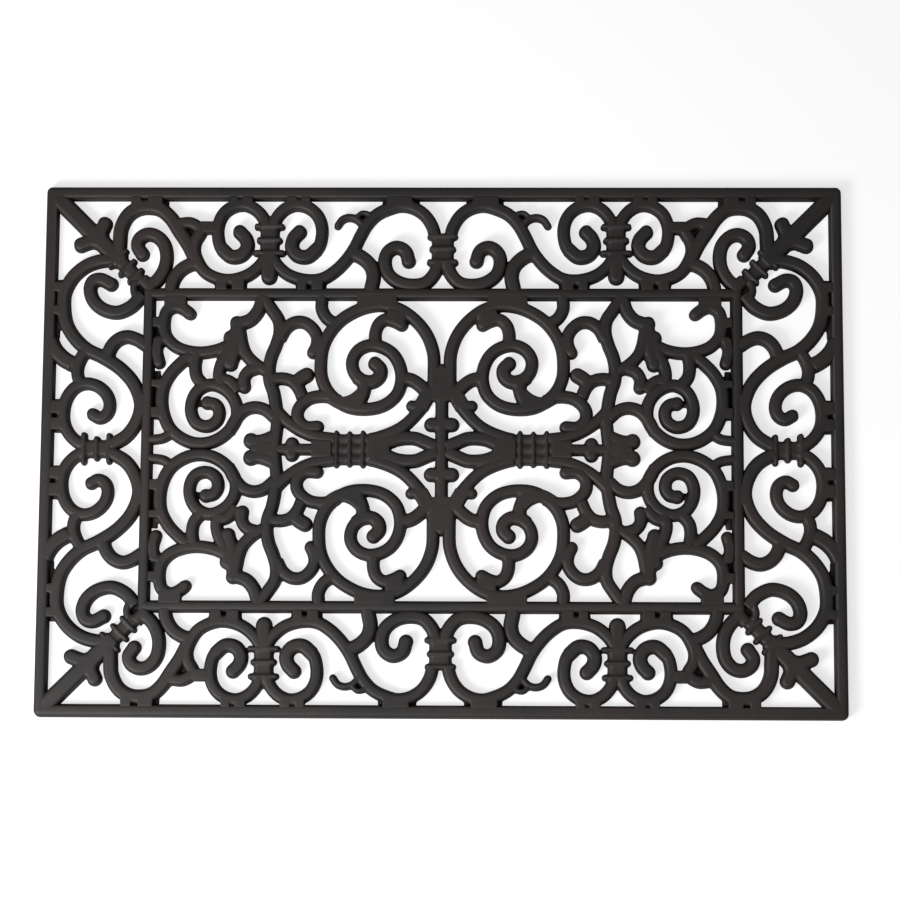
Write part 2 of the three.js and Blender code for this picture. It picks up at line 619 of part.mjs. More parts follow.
// A closed solid between two outlines with as many corners each, listed anticlockwise.
function loft(foot, crest, bottom, top) {
  const sides = foot.length;
  const rings = [...foot.map((p) => [p.x, p.y, bottom]), ...crest.map((p) => [p.x, p.y, top])];
  const caps = THREE.ShapeUtils.triangulateShape(foot, []);
  const indices = caps.flatMap(([a, b, c]) => [a, c, b, a + sides, b + sides, c + sides]);
  for (let k = 0; k < sides; k += 1) {
    const next = (k + 1) % sides;
    indices.push(k, next, next + sides, k, next + sides, k + sides);
  }
  const geometry = new THREE.BufferGeometry();
  geometry.setAttribute('position', new THREE.Float32BufferAttribute(rings.flat(), 3));
  geometry.setIndex(indices);
  return geometry;
}

const outerRing = { x: matLength / 2, y: matWidth / 2, width: outerRailWidth, rounding: cornerRadius };
const innerRing = {
  x: matLength / 2 - outerRailWidth - sideBorderWidth,
  y: matWidth / 2 - outerRailWidth - longBorderWidth,
  width: innerRailWidth,
  rounding: 0,
};

// One rail of a ring; quarterTurns is 0 at the back, 1 at the left, 2 in front, 3 at the right.
function rail(ring, quarterTurns, grow) {
  const alongX = quarterTurns % 2 === 0;
  const run = alongX ? ring.x : ring.y;
  const reach = alongX ? ring.y : ring.x;
  const geometry = railGeometry({ run, reach, width: ring.width, rounding: ring.rounding }, grow);
  geometry.rotateZ(quarterTurns * Math.PI / 2);
  return [solidOf(geometry)];
}

// Thin walls of clearance on the middle lines, which part each member from its mirror image.
function middleClearance() {
  const tall = 2 * railHeight;
  return union([
    solidOf(new THREE.BoxGeometry(matLength, seam, tall)),
    solidOf(new THREE.BoxGeometry(seam, matWidth, tall)),
  ]);
}

const inSides = (keep) => SIDES.filter(keep);
const spanning = (sides, draw) => (grow) => sides.flatMap((side) => draw(side, grow));

const railMembers = ['back', 'left', 'front', 'right'].flatMap((place, turns) => [
  { name: `outer_rail_${place}`, draw: (grow) => rail(outerRing, turns, grow) },
  { name: `inner_rail_${place}`, draw: (grow) => rail(innerRing, turns, grow) },
]);
const middleMembers = [
  { name: 'field_spine', draw: spanning(SIDES, spine) },
  { name: 'side_bundle_left', draw: spanning(inSides((s) => s.x < 0), sideBundle) },
  { name: 'side_bundle_right', draw: spanning(inSides((s) => s.x > 0), sideBundle) },
  { name: 'center_volutes_back', draw: spanning(inSides((s) => s.y > 0), longCentre) },
  { name: 'center_volutes_front', draw: spanning(inSides((s) => s.y < 0), longCentre) },
  { name: 'side_volutes_left', draw: spanning(inSides((s) => s.x < 0), sideCentre) },
  { name: 'side_volutes_right', draw: spanning(inSides((s) => s.x > 0), sideCentre) },
];

// Members that every quarter has, in the order in which later ones give way to earlier ones.
const quarterDrawings = {
  corner_spear: cornerSpear,
  corner_volutes: cornerVolutes,
  palmette,
  great_scroll: greatScroll,
  side_arm: cornerArmSide,
  long_arm: cornerArmLong,
  border_arm: borderArm,
  border_wave: borderWave,
  field_leg: leg,
  small_spiral: smallSpiral,
  leaf_trunk: leafTrunk,
};
const quarterMembers = Object.entries(quarterDrawings).flatMap(([name, draw]) => SIDES.map((side) => ({
  name: `${name}_${side.name}`, draw: (grow) => draw(side, grow), quarter: true,
})));

// The largest connected body of a solid, without the slivers that a cut can leave, its flat faces
// merged where joining left them divided.
function mainBody(solid) {
  const bodies = solid.decompose();
  const largest = bodies.reduce((best, next) => (next.volume() > best.volume() ? next : best));
  return largest.asOriginal().simplify(flatTolerance);
}

function overlaps(a, b) {
  const [boxA, boxB] = [a.boundingBox(), b.boundingBox()];
  return [0, 1].every((axis) => boxA.min[axis] < boxB.max[axis] && boxB.min[axis] < boxA.max[axis]);
}

function meshOf(solid, name) {
  const { vertProperties, triVerts } = solid.getMesh();
  const geometry = new THREE.BufferGeometry();
  geometry.setAttribute('position', new THREE.BufferAttribute(new Float32Array(vertProperties), 3));
  geometry.setIndex(new THREE.BufferAttribute(new Uint32Array(triVerts), 1));
  geometry.computeBoundingBox();
  const centre = geometry.boundingBox.getCenter(new THREE.Vector3());
  geometry.translate(-centre.x, -centre.y, -centre.z);
  geometry.computeVertexNormals();
  const mesh = new THREE.Mesh(geometry, new THREE.MeshStandardMaterial(rubber));
  mesh.name = name;
  mesh.position.copy(centre);
  return mesh;
}

function build() {
  const group = new THREE.Group();
  const middle = middleClearance();
  const cutters = [];
  [...railMembers, ...middleMembers, ...quarterMembers].forEach((member) => {
    let solid = union(member.draw(0));
    cutters.filter((cutter) => overlaps(cutter, solid)).forEach((cutter) => {
      solid = solid.subtract(cutter);
    });
    if (member.quarter) {
      solid = solid.subtract(middle);
    }
    cutters.push(union(member.draw(seam)));
    group.add(meshOf(mainBody(solid), member.name));
  });
  return group;
}

const group = build();
export default group;
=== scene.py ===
"""Openwork rubber door mat, moulded to look like a wrought-iron grille: its surfaces and studio.

Every member of the moulding is modelled as crowned bars, beads and ribs that are melted
into one soft-edged skin, as rubber leaves its mould. Low webs of the same rubber fill narrow gaps
that are open on the mat, as painted shade standing in for the floor's shadow there. Lengths are
in millimetres until a mesh is made, and the pattern is drawn for the back left quarter and
mirrored.
"""

import logging
import math
from collections.abc import Iterable
from dataclasses import dataclass, field, replace
from enum import Enum
from typing import ClassVar

import bpy
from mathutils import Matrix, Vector

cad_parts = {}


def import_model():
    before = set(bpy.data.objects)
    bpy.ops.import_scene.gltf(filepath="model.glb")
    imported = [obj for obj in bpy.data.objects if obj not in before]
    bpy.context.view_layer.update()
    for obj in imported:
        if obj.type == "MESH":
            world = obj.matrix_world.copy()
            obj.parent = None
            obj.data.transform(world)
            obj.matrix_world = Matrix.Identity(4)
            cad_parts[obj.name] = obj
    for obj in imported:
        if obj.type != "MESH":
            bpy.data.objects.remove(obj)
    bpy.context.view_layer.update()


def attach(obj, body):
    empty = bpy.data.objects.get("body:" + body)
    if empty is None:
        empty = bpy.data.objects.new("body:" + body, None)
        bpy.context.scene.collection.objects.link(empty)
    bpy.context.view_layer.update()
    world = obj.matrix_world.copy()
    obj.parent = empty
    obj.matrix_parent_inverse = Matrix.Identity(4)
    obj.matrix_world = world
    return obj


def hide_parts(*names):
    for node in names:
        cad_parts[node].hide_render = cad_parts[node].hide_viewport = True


LOG = logging.getLogger("door_mat")
MM = 0.001
CUT_TOLERANCE = 1e-6
LEAST_UPWARD_NORMAL = 0.5

Share = tuple[float, float]
Line = tuple[Share, ...]


def linear(hex_colour: str) -> tuple[float, float, float, float]:
    """Turn an sRGB colour into the linear colour that a shader socket takes.

    Args:
        hex_colour: The colour as six hexadecimal digits.

    Returns:
        Red, green, blue and an alpha of one.
    """
    channels = [int(hex_colour[i : i + 2], 16) / 255 for i in (0, 2, 4)]
    red, green, blue = (
        c / 12.92 if c <= 0.04045 else ((c + 0.055) / 1.055) ** 2.4 for c in channels
    )
    return (red, green, blue, 1.0)


def add_node(
    tree: bpy.types.NodeTree, kind: str, inputs: dict | None = None, **settings: object
) -> bpy.types.Node:
    """Add a shader node with its settings, values and links.

    Args:
        tree: The node tree that receives it.
        kind: The node's type name.
        inputs: Values or source sockets by the name or number of the input socket.
        **settings: Properties of the node itself.

    Returns:
        The new node.
    """
    node = tree.nodes.new(kind)
    for key, value in settings.items():
        setattr(node, key, value)
    for key, value in (inputs or {}).items():
        if isinstance(value, bpy.types.NodeSocket):
            tree.links.new(value, node.inputs[key])
        else:
            node.inputs[key].default_value = value
    return node


def new_tree(name: str) -> tuple[bpy.types.Material, bpy.types.NodeTree]:
    """Start a material with an empty node tree.

    Args:
        name: The material's name.

    Returns:
        The material and its tree.
    """
    material = bpy.data.materials.new(name)
    material.use_nodes = True
    material.node_tree.nodes.clear()
    return material, material.node_tree


@dataclass(frozen=True)
class MouldedRubber:
    """Compression-moulded black rubber: matt, a little brown, with the soft satin of a mould skin.

    The colour drifts slowly between a warmer and a cooler black under a finer mottle, which also
    changes the sheen. The skin isn't quite even where the rubber flowed, and has a fine grain.
    Sizes and depths are in millimetres.
    """

    name: str = "moulded_rubber"
    body: str = "25201f"
    warm: str = "2e2725"
    cool: str = "1f1d1d"
    roughness: float = 0.58
    smoother: float = 0.06
    rougher: float = 0.08
    specular: float = 0.4
    refraction: float = 1.5
    cloud_size: float = 90.0
    cloud_layers: float = 3.0
    cloud_span: tuple[float, float] = (0.35, 0.65)
    mottle_size: float = 9.0
    mottle_layers: float = 4.0
    mottle_span: tuple[float, float] = (0.4, 0.7)
    mottle_share: float = 0.5
    # A mould's own grain is finer; this one is a little wider than a pixel, so that it shows.
    grain_size: float = 0.9
    grain_layers: float = 2.0
    grain_depth: float = 0.05
    flow_size: float = 26.0
    flow_layers: float = 1.0
    flow_depth: float = 0.25
    layer_roughness: float = 0.55

    def material(self) -> bpy.types.Material:
        """Make the rubber.

        Returns:
            The material.
        """
        material, tree = new_tree(self.name)
        place = add_node(tree, "ShaderNodeTexCoord").outputs["Object"]
        clouds = self._noise(tree, place, self.cloud_size, self.cloud_layers)
        mottle = self._noise(tree, place, self.mottle_size, self.mottle_layers)
        grain = self._noise(tree, place, self.grain_size, self.grain_layers)
        flow = self._noise(tree, place, self.flow_size, self.flow_layers)
        cloud_low, cloud_high = self.cloud_span
        drift = add_node(
            tree,
            "ShaderNodeMapRange",
            {"Value": clouds, "From Min": cloud_low, "From Max": cloud_high},
        )
        tint = add_node(
            tree,
            "ShaderNodeMix",
            {"Factor": drift.outputs["Result"], "A": linear(self.cool), "B": linear(self.warm)},
            data_type="RGBA",
        )
        mottle_low, mottle_high = self.mottle_span
        speckle = add_node(
            tree,
            "ShaderNodeMapRange",
            {
                "Value": mottle,
                "From Min": mottle_low,
                "From Max": mottle_high,
                "To Max": self.mottle_share,
            },
        )
        colour = add_node(
            tree,
            "ShaderNodeMix",
            {
                "Factor": speckle.outputs["Result"],
                "A": tint.outputs["Result"],
                "B": linear(self.body),
            },
            data_type="RGBA",
        )
        satin = add_node(
            tree,
            "ShaderNodeMapRange",
            {
                "Value": mottle,
                "To Min": self.roughness - self.smoother,
                "To Max": self.roughness + self.rougher,
            },
        )
        waves = add_node(
            tree,
            "ShaderNodeBump",
            {"Distance": self.flow_depth * MM, "Height": flow, "Strength": 1.0},
        )
        skin = add_node(
            tree,
            "ShaderNodeBump",
            {
                "Distance": self.grain_depth * MM,
                "Height": grain,
                "Strength": 1.0,
                "Normal": waves.outputs["Normal"],
            },
        )
        shader = add_node(
            tree,
            "ShaderNodeBsdfPrincipled",
            {
                "Base Color": colour.outputs["Result"],
                "Roughness": satin.outputs["Result"],
                "Normal": skin.outputs["Normal"],
                "Specular IOR Level": self.specular,
                "IOR": self.refraction,
            },
        )
        add_node(tree, "ShaderNodeOutputMaterial", {"Surface": shader.outputs["BSDF"]})
        return material

    def _noise(
        self, tree: bpy.types.NodeTree, place: bpy.types.NodeSocket, size: float, layers: float
    ) -> bpy.types.NodeSocket:
        """Add noise whose lumps are about as wide as a size in millimetres.

        Args:
            tree: The node tree.
            place: The coordinates that it reads.
            size: The width of a lump.
            layers: How many finer layers it has.

        Returns:
            The noise's value.
        """
        inputs = {
            "Vector": place,
            "Scale": 1 / (size * MM),
            "Detail": layers,
            "Roughness": self.layer_roughness,
        }
        return add_node(tree, "ShaderNodeTexNoise", inputs).outputs["Fac"]


@dataclass(frozen=True)
class StudioFloor:
    """Matt studio paper that looks white to the camera and still keeps the mat's soft shadow."""

    name: str = "studio_paper"
    colour: str = "b0b0b0"
    glow_colour: str = "ffffff"
    lift: float = 0.68

    def material(self) -> bpy.types.Material:
        """Make the paper.

        Returns:
            The material.
        """
        material, tree = new_tree(self.name)
        paper = add_node(tree, "ShaderNodeBsdfDiffuse", {"Color": linear(self.colour)})
        rays = add_node(tree, "ShaderNodeLightPath")
        seen = add_node(
            tree,
            "ShaderNodeMath",
            {0: rays.outputs["Is Camera Ray"], 1: self.lift},
            operation="MULTIPLY",
        )
        glow = add_node(
            tree,
            "ShaderNodeEmission",
            {"Color": linear(self.glow_colour), "Strength": seen.outputs["Value"]},
        )
        both = add_node(
            tree,
            "ShaderNodeAddShader",
            {0: paper.outputs["BSDF"], 1: glow.outputs["Emission"]},
        )
        add_node(tree, "ShaderNodeOutputMaterial", {"Surface": both.outputs["Shader"]})
        return material


class Side(Enum):
    """The quarters of the mat, each with the sign of its X and of its Y."""

    BACK_LEFT = (-1, 1)
    BACK_RIGHT = (1, 1)
    FRONT_LEFT = (-1, -1)
    FRONT_RIGHT = (1, -1)


class Repeat(Enum):
    """How often a member lies on the mat: each copy's name ending and its mirroring in X and Y."""

    ONCE = (("", 1, 1),)
    LEFT_RIGHT = (("_left", 1, 1), ("_right", -1, 1))
    BACK_FRONT = (("_back", 1, 1), ("_front", 1, -1))
    QUARTERS = (
        ("_back_left", 1, 1),
        ("_back_right", -1, 1),
        ("_front_left", 1, -1),
        ("_front_right", -1, -1),
    )


@dataclass(frozen=True)
class SquaredPaper:
    """The pattern's squared paper, in hundredths of half the drawn length, and the mat's sizes."""

    length: float = 600.0
    width: float = 400.0
    outer_rail: float = 10.0
    corner_rounding: float = 5.0
    inner_rail: float = 9.5
    side_border: float = 65.0
    long_border: float = 67.5
    columns: tuple[float, ...] = (0, 3.33, 25, 28.17, 100)
    rows: tuple[float, ...] = (0, 3.33, 25.83, 29, 66.67)

    @staticmethod
    def _warped(share: float, knots: tuple[float, ...], edges: tuple[float, ...]) -> float:
        """Place a share between the rail faces that enclose it.

        Args:
            share: The column or row.
            knots: The drawn places of the rail faces.
            edges: Their real places.

        Returns:
            The distance in from the mat's edge.
        """
        span = next((i for i in range(1, len(knots) - 1) if share <= knots[i]), len(knots) - 1)
        along = (share - knots[span - 1]) / (knots[span] - knots[span - 1])
        return edges[span - 1] + along * (edges[span] - edges[span - 1])

    def _edges(self, border: float, full: float) -> tuple[float, ...]:
        """List the real places of the rail faces and of the middle line.

        Args:
            border: The width of the border strip.
            full: The mat's full size that way.

        Returns:
            Distances in from the mat's edge.
        """
        ring = self.outer_rail + border
        return (0, self.outer_rail, ring, ring + self.inner_rail, full / 2)

    def point(self, share: Share, side: Side = Side.BACK_LEFT) -> Vector:
        """Place a drawn point on the mat.

        Args:
            share: Its column and row.
            side: The quarter that it lies in.

        Returns:
            The point in millimetres.
        """
        column, row = share
        long_edges = self._edges(self.side_border, self.length)
        short_edges = self._edges(self.long_border, self.width)
        x = self.length / 2 - self._warped(column, self.columns, long_edges)
        y = self.width / 2 - self._warped(row, self.rows, short_edges)
        sign_x, sign_y = side.value
        return Vector((sign_x * x, sign_y * y, 0))


PAPER = SquaredPaper()
MIDDLE_COLUMN = PAPER.columns[-1]
MIDDLE_ROW = PAPER.rows[-1]
PALMETTE_AXIS = 56.5


def swapped(line: Line) -> Line:
    """Mirror a line in the corner's diagonal."""
    return tuple((row, column) for column, row in line)


def across_palmette(line: Line) -> Line:
    """Mirror a line in the palmette's axis."""
    return tuple((2 * PALMETTE_AXIS - column, row) for column, row in line)


@dataclass(frozen=True)
class Crown:
    """The drafted, rounded and crowned top of a bar, as steps of inset and rise from the foot."""

    steps: tuple[tuple[float, float], ...] = (
        (0.85, 0.74), (0.3, 0.11), (0.5, 0.08), (0.75, 0.045), (1.0, 0.025),
    )
    widest_share: float = 0.86

    def climb(self, half_width: float, height: float) -> list[tuple[float, float]]:
        """Work out the steps for one bar.

        Args:
            half_width: Half the bar's width at the foot.
            height: The bar's height.

        Returns:
            Insets and rises in millimetres, the rises adding up to the height.
        """
        fit = min(1.0, self.widest_share * half_width / sum(inset for inset, _ in self.steps))
        return [(inset * fit, rise * height) for inset, rise in self.steps]

    def outline(self, half_width: float, height: float, skirt: float) -> list[tuple[float, float]]:
        """Draw the closed section of a bar.

        Args:
            half_width: Half the bar's width at the foot.
            height: The bar's height.
            skirt: How far the section goes on below the floor, to be trimmed later.

        Returns:
            Across and up coordinates in millimetres, anticlockwise.
        """
        right = [(half_width, -skirt), (half_width, 0.0)]
        across, up = half_width, 0.0
        for inset, rise in self.climb(half_width, height):
            across, up = across - inset, up + rise
            right.append((across, up))
        return right + [(-x, z) for x, z in reversed(right)]


@dataclass(frozen=True)
class Bar:
    """A crowned bar along drawn points, or a bead, which needs no width, at a single point."""

    line: Line
    width: float = 0.0
    height: float = 8.95
    start_radius: float = 0.0
    end_radius: float = 0.0
    side: Side = Side.BACK_LEFT
    flush: bool = False


def deselect() -> None:
    """Leave nothing selected."""
    if bpy.context.object and bpy.context.object.mode != "OBJECT":
        bpy.ops.object.mode_set(mode="OBJECT")
    bpy.ops.object.select_all(action="DESELECT")


def only(piece: bpy.types.Object) -> None:
    """Select one object alone and make it active.

    Args:
        piece: The object.
    """
    deselect()
    piece.select_set(True)
    bpy.context.view_layer.objects.active = piece


def joined(pieces: list[bpy.types.Object]) -> bpy.types.Object:
    """Join meshes into the first of them.

    Args:
        pieces: The meshes.

    Returns:
        The one object that is left.
    """
    only(pieces[0])
    for piece in pieces[1:]:
        piece.select_set(True)
    if len(pieces) > 1:
        bpy.ops.object.join()
    bpy.ops.object.transform_apply(location=True, rotation=True, scale=True)
    return pieces[0]


def crown_faces(climb: list[tuple[float, float]]) -> None:
    """Raise the selected faces of the mesh in edit mode into a crowned top.

    Args:
        climb: Insets and rises in millimetres.
    """
    for inset, rise in climb:
        bpy.ops.mesh.inset(
            thickness=inset * MM, depth=rise * MM, use_boundary=True, use_even_offset=True
        )


def trim(piece: bpy.types.Object, point: Vector, normal: Vector) -> None:
    """Cut away what lies beyond a plane and close the cut.

    Args:
        piece: The mesh to trim.
        point: A point of the plane, in metres.
        normal: The direction in which the mesh is cut away.
    """
    only(piece)
    bpy.ops.object.mode_set(mode="EDIT")
    bpy.ops.mesh.select_all(action="SELECT")
    bpy.ops.mesh.bisect(
        plane_co=point, plane_no=normal, clear_outer=True, use_fill=True, threshold=CUT_TOLERANCE
    )
    bpy.ops.object.mode_set(mode="OBJECT")


@dataclass(frozen=True)
class Moulder:
    """Turns bars into one soft-edged skin. Lengths are in millimetres and the angle in degrees."""

    crown: Crown = field(default_factory=Crown)
    flush_crown: Crown = Crown(((0.35, 0.8), (0.45, 0.2)))
    voxel: float = 0.55
    smoothing_rounds: int = 7
    smoothing_share: float = 0.5
    kept_share: float = 0.24
    skirt: float = 1.6
    bead_sides: int = 40
    curve_steps: int = 8
    crease_angle: float = 55.0
    foot_step: float = 0.01

    def sweep(self, bar: Bar) -> bpy.types.Object:
        """Draw a bar's curve through its points and give it the crowned section.

        Args:
            bar: The bar.

        Returns:
            The bar as a closed mesh.
        """
        points = [PAPER.point(share, bar.side) * MM for share in bar.line]
        bpy.ops.curve.primitive_bezier_circle_add(radius=MM)
        section = bpy.context.object
        section.data.splines.clear()
        crown = self.flush_crown if bar.flush else self.crown
        outline = crown.outline(bar.width / 2, bar.height, self.skirt)
        spline = section.data.splines.new("POLY")
        spline.points.add(len(outline) - 1)
        spline.use_cyclic_u = True
        for corner, (across, up) in zip(spline.points, outline):
            corner.co = (across * MM, up * MM, 0, 1)
        bpy.ops.curve.primitive_bezier_curve_add(radius=MM)
        path = bpy.context.object
        path.data.splines.clear()
        track = path.data.splines.new("BEZIER")
        track.bezier_points.add(len(points) - 1)
        track.resolution_u = self.curve_steps
        for knot, (before, at, after) in zip(track.bezier_points, self._handles(points)):
            knot.handle_left_type = knot.handle_right_type = "FREE"
            knot.handle_left, knot.co, knot.handle_right = before, at, after
        path.data.dimensions = "3D"
        path.data.twist_mode = "Z_UP"
        path.data.resolution_u = self.curve_steps
        path.data.bevel_mode = "OBJECT"
        path.data.bevel_object = section
        path.data.use_fill_caps = True
        only(path)
        bpy.ops.object.convert(target="MESH")
        made = bpy.context.object
        bpy.data.objects.remove(section)
        return made

    @staticmethod
    def _handles(points: list[Vector]) -> list[tuple[Vector, Vector, Vector]]:
        """Work out the handles of a curve that passes the points evenly, without overshoot.

        Args:
            points: The points on the curve.

        Returns:
            For each point, its left handle, itself and its right handle.
        """
        padded = [2 * points[0] - points[1], *points, 2 * points[-1] - points[-2]]
        left, right = list(points), list(points)
        for i in range(len(points) - 1):
            a, b, c, d = padded[i : i + 4]
            first, middle, last = (math.sqrt((q - p).length) for p, q in ((a, b), (b, c), (c, d)))
            leave = ((b - a) / first - (c - a) / (first + middle) + (c - b) / middle) * middle
            arrive = ((c - b) / middle - (d - b) / (middle + last) + (d - c) / last) * middle
            right[i] = b + leave / 3
            left[i + 1] = c - arrive / 3
        return list(zip(left, points, right))

    def bead(self, centre: Vector, radius: float, height: float) -> bpy.types.Object:
        """Model a round crowned bead from a short cylinder.

        Args:
            centre: Its centre on the floor, in millimetres.
            radius: Its radius at the foot.
            height: Its height.

        Returns:
            The bead.
        """
        bpy.ops.mesh.primitive_cylinder_add(
            vertices=self.bead_sides,
            radius=radius * MM,
            depth=self.skirt * MM,
            location=(centre.x * MM, centre.y * MM, -self.skirt * MM / 2),
        )
        made = bpy.context.object
        bpy.ops.object.mode_set(mode="EDIT")
        bpy.ops.mesh.select_all(action="DESELECT")
        bpy.ops.object.mode_set(mode="OBJECT")
        for face in made.data.polygons:
            face.select = face.normal.z > LEAST_UPWARD_NORMAL
        bpy.ops.object.mode_set(mode="EDIT")
        crown_faces(self.crown.climb(radius, height))
        bpy.ops.object.mode_set(mode="OBJECT")
        return made

    def meshes(self, bar: Bar) -> list[bpy.types.Object]:
        """Model a bar and its round ends.

        Args:
            bar: The bar.

        Returns:
            One to three closed meshes.
        """
        deselect()
        ends = [(bar.line[0], bar.start_radius), (bar.line[-1], bar.end_radius)]
        beads = [
            self.bead(PAPER.point(share, bar.side), radius, bar.height)
            for share, radius in ends
            if radius > 0
        ]
        return beads if len(bar.line) == 1 else [self.sweep(bar), *beads]

    def mould(self, bars: Iterable[Bar], order: int) -> bpy.types.Object:
        """Melt bars into one skin with soft creases and a flat underside.

        Each member's underside lies a hair above the last one's, so that no two share a plane where
        members cross.

        Args:
            bars: The bars of one member.
            order: The member's place in the order of making.

        Returns:
            The member as one closed mesh.
        """
        piece = joined([mesh for bar in bars for mesh in self.meshes(bar)])
        only(piece)
        self._modify(piece, "REMESH", mode="VOXEL", voxel_size=self.voxel * MM)
        self._modify(piece, "SMOOTH", factor=self.smoothing_share, iterations=self.smoothing_rounds)
        self._modify(piece, "DECIMATE", ratio=self.kept_share)
        trim(piece, Vector((0, 0, order * self.foot_step * MM)), Vector((0, 0, -1)))
        return piece

    def shade(self, piece: bpy.types.Object) -> None:
        """Shade a mesh smoothly, apart from its hard edges.

        Args:
            piece: The mesh.
        """
        only(piece)
        bpy.ops.object.shade_smooth_by_angle(angle=math.radians(self.crease_angle))

    @staticmethod
    def _modify(piece: bpy.types.Object, kind: str, **settings: object) -> None:
        """Add one modifier and apply it.

        Args:
            piece: The mesh.
            kind: The modifier's type.
            **settings: Its settings.
        """
        modifier = piece.modifiers.new(kind.lower(), kind)
        for key, value in settings.items():
            setattr(modifier, key, value)
        bpy.ops.object.modifier_apply(modifier=modifier.name)


def mirrored(piece: bpy.types.Object, x: int, y: int) -> bpy.types.Object:
    """Copy a mesh to another quarter or half.

    Args:
        piece: The mesh to copy.
        x: -1 to mirror it to the other side of X, otherwise 1.
        y: -1 to mirror it to the other side of Y, otherwise 1.

    Returns:
        The copy, with a mesh of its own.
    """
    only(piece)
    bpy.ops.object.duplicate(linked=False)
    copy = bpy.context.object
    copy.scale = (x, y, 1)
    bpy.ops.object.transform_apply(location=True, rotation=True, scale=True)
    bpy.ops.object.mode_set(mode="EDIT")
    bpy.ops.mesh.select_all(action="SELECT")
    bpy.ops.mesh.normals_make_consistent(inside=False)
    bpy.ops.object.mode_set(mode="OBJECT")
    return copy


def settle(piece: bpy.types.Object, node: str, material: bpy.types.Material) -> None:
    """Name a finished piece, give it its rubber and put it in place of its plain solid.

    Args:
        piece: The finished mesh.
        node: The plain solid that it stands for.
        material: Its material.
    """
    piece.name = f"moulded_{node}"
    piece.data.name = piece.name
    piece.data.materials.clear()
    piece.data.materials.append(material)
    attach(piece, "root")
    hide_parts(node)
    LOG.info("%s: %d faces", piece.name, len(piece.data.polygons))


@dataclass
class Member:
    """A member of the scrollwork, modelled once and mirrored to wherever it lies."""

    name: ClassVar[str]
    repeat: ClassVar[Repeat] = Repeat.QUARTERS
    sides: ClassVar[tuple[Side, ...]] = (Side.BACK_LEFT,)

    scroll_width: float = 10
    wide_width: float = 10.8
    lug_width: float = 9.6
    # Low rubber webs in open gaps, kept low so that they render dark: painted shade standing in for
    # the floor's shadow.
    shade_web_width: float = 5
    shade_web_height: float = 1.6
    rib_width: float = 5.2
    rib_height: float = 9.0
    neck_height: float = 8
    bulb_radius: float = 5.1

    def drawing(self) -> list[Bar]:
        """List the bars of one quarter."""
        raise NotImplementedError

    def ribs(self, ends: Line, others: Line, width: float | None = None) -> list[Bar]:
        """Draw the ribs of a collar.

        Args:
            ends: One end of each rib.
            others: The other end of each.
            width: The ribs' width, if it isn't the usual one.

        Returns:
            The ribs, with rounded ends.
        """
        wide = width or self.rib_width
        return [
            Bar((a, b), wide, self.rib_height, wide / 2, wide / 2) for a, b in zip(ends, others)
        ]

    def lugs(self, lines: Iterable[Line]) -> list[Bar]:
        """Draw the lugs that bridge the slot beside a rail."""
        return self.seats(self.lug_width, *lines)

    def seats(self, width: float, *lines: Line) -> list[Bar]:
        """Draw steep-walled bars that fill the groove between two bars flush with their tops."""
        return [Bar(line, width, flush=True) for line in lines]

    def shade_webs(self, *lines: Line) -> list[Bar]:
        """Draw low rubber webs across narrow gaps that are open on the mat, as painted shade: a
        dark floor standing in for the shadow on the floor seen through them.
        """
        return [Bar(line, self.shade_web_width, self.shade_web_height) for line in lines]

    def bars(self) -> list[Bar]:
        """Draw the whole member, mirrored within itself where it spans the middle."""
        drawn = self.drawing()
        return [replace(bar, side=side) for side in self.sides for bar in drawn]

    def build(self, moulder: Moulder, material: bpy.types.Material, order: int) -> None:
        """Model the member, trim it at the middle lines and mirror it.

        Args:
            moulder: What melts the bars together.
            material: The rubber.
            order: The member's place in the order of making.
        """
        piece = moulder.mould(self.bars(), order)
        low, high = piece.bound_box[0], piece.bound_box[6]
        if self.repeat in (Repeat.QUARTERS, Repeat.LEFT_RIGHT) and high[0] > 0:
            trim(piece, Vector((0, 0, 0)), Vector((1, 0, 0)))
        if self.repeat in (Repeat.QUARTERS, Repeat.BACK_FRONT) and low[1] < 0:
            trim(piece, Vector((0, 0, 0)), Vector((0, -1, 0)))
        moulder.shade(piece)
        copies = [(suffix, mirrored(piece, x, y)) for suffix, x, y in self.repeat.value[1:]]
        for suffix, made in [(self.repeat.value[0][0], piece), *copies]:
            settle(made, f"{self.name}{suffix}", material)


@dataclass
class CornerSpear(Member):
    """The spear on the corner's diagonal, with two petals and a collar of three ribs."""

    name: ClassVar[str] = "corner_spear"

    stem: Line = ((1.6, 1.6), (19.4, 19.4))
    long_petal: Line = ((13.5, 13.5), (14.1, 11.4), (14.9, 9.5))
    side_petal: Line = ((13.4, 13.6), (11.2, 14.1), (9, 14.9))
    boss: Share = (13.3, 13.3)
    neck: Line = ((17.3, 17.3), (24.6, 24.6))
    rib_ends: Line = ((20.4, 16.6), (22.5, 19.2), (24.4, 21.5))
    stem_width: float = 14
    neck_width: float = 11.6
    collar_height: float = 8.2
    collar_rib_width: float = 4.8
    petal_width: float = 11.6
    petal_radius: float = 5.9
    boss_radius: float = 8.6

    def drawing(self) -> list[Bar]:
        """List the bars of one quarter."""
        return [
            Bar(self.stem, self.stem_width),
            Bar(self.long_petal, self.petal_width, end_radius=self.petal_radius),
            Bar(self.side_petal, self.petal_width, end_radius=self.petal_radius),
            Bar((self.boss,), end_radius=self.boss_radius),
            Bar(self.neck, self.neck_width, self.collar_height),
            *self.ribs(self.rib_ends, swapped(self.rib_ends), self.collar_rib_width),
        ]


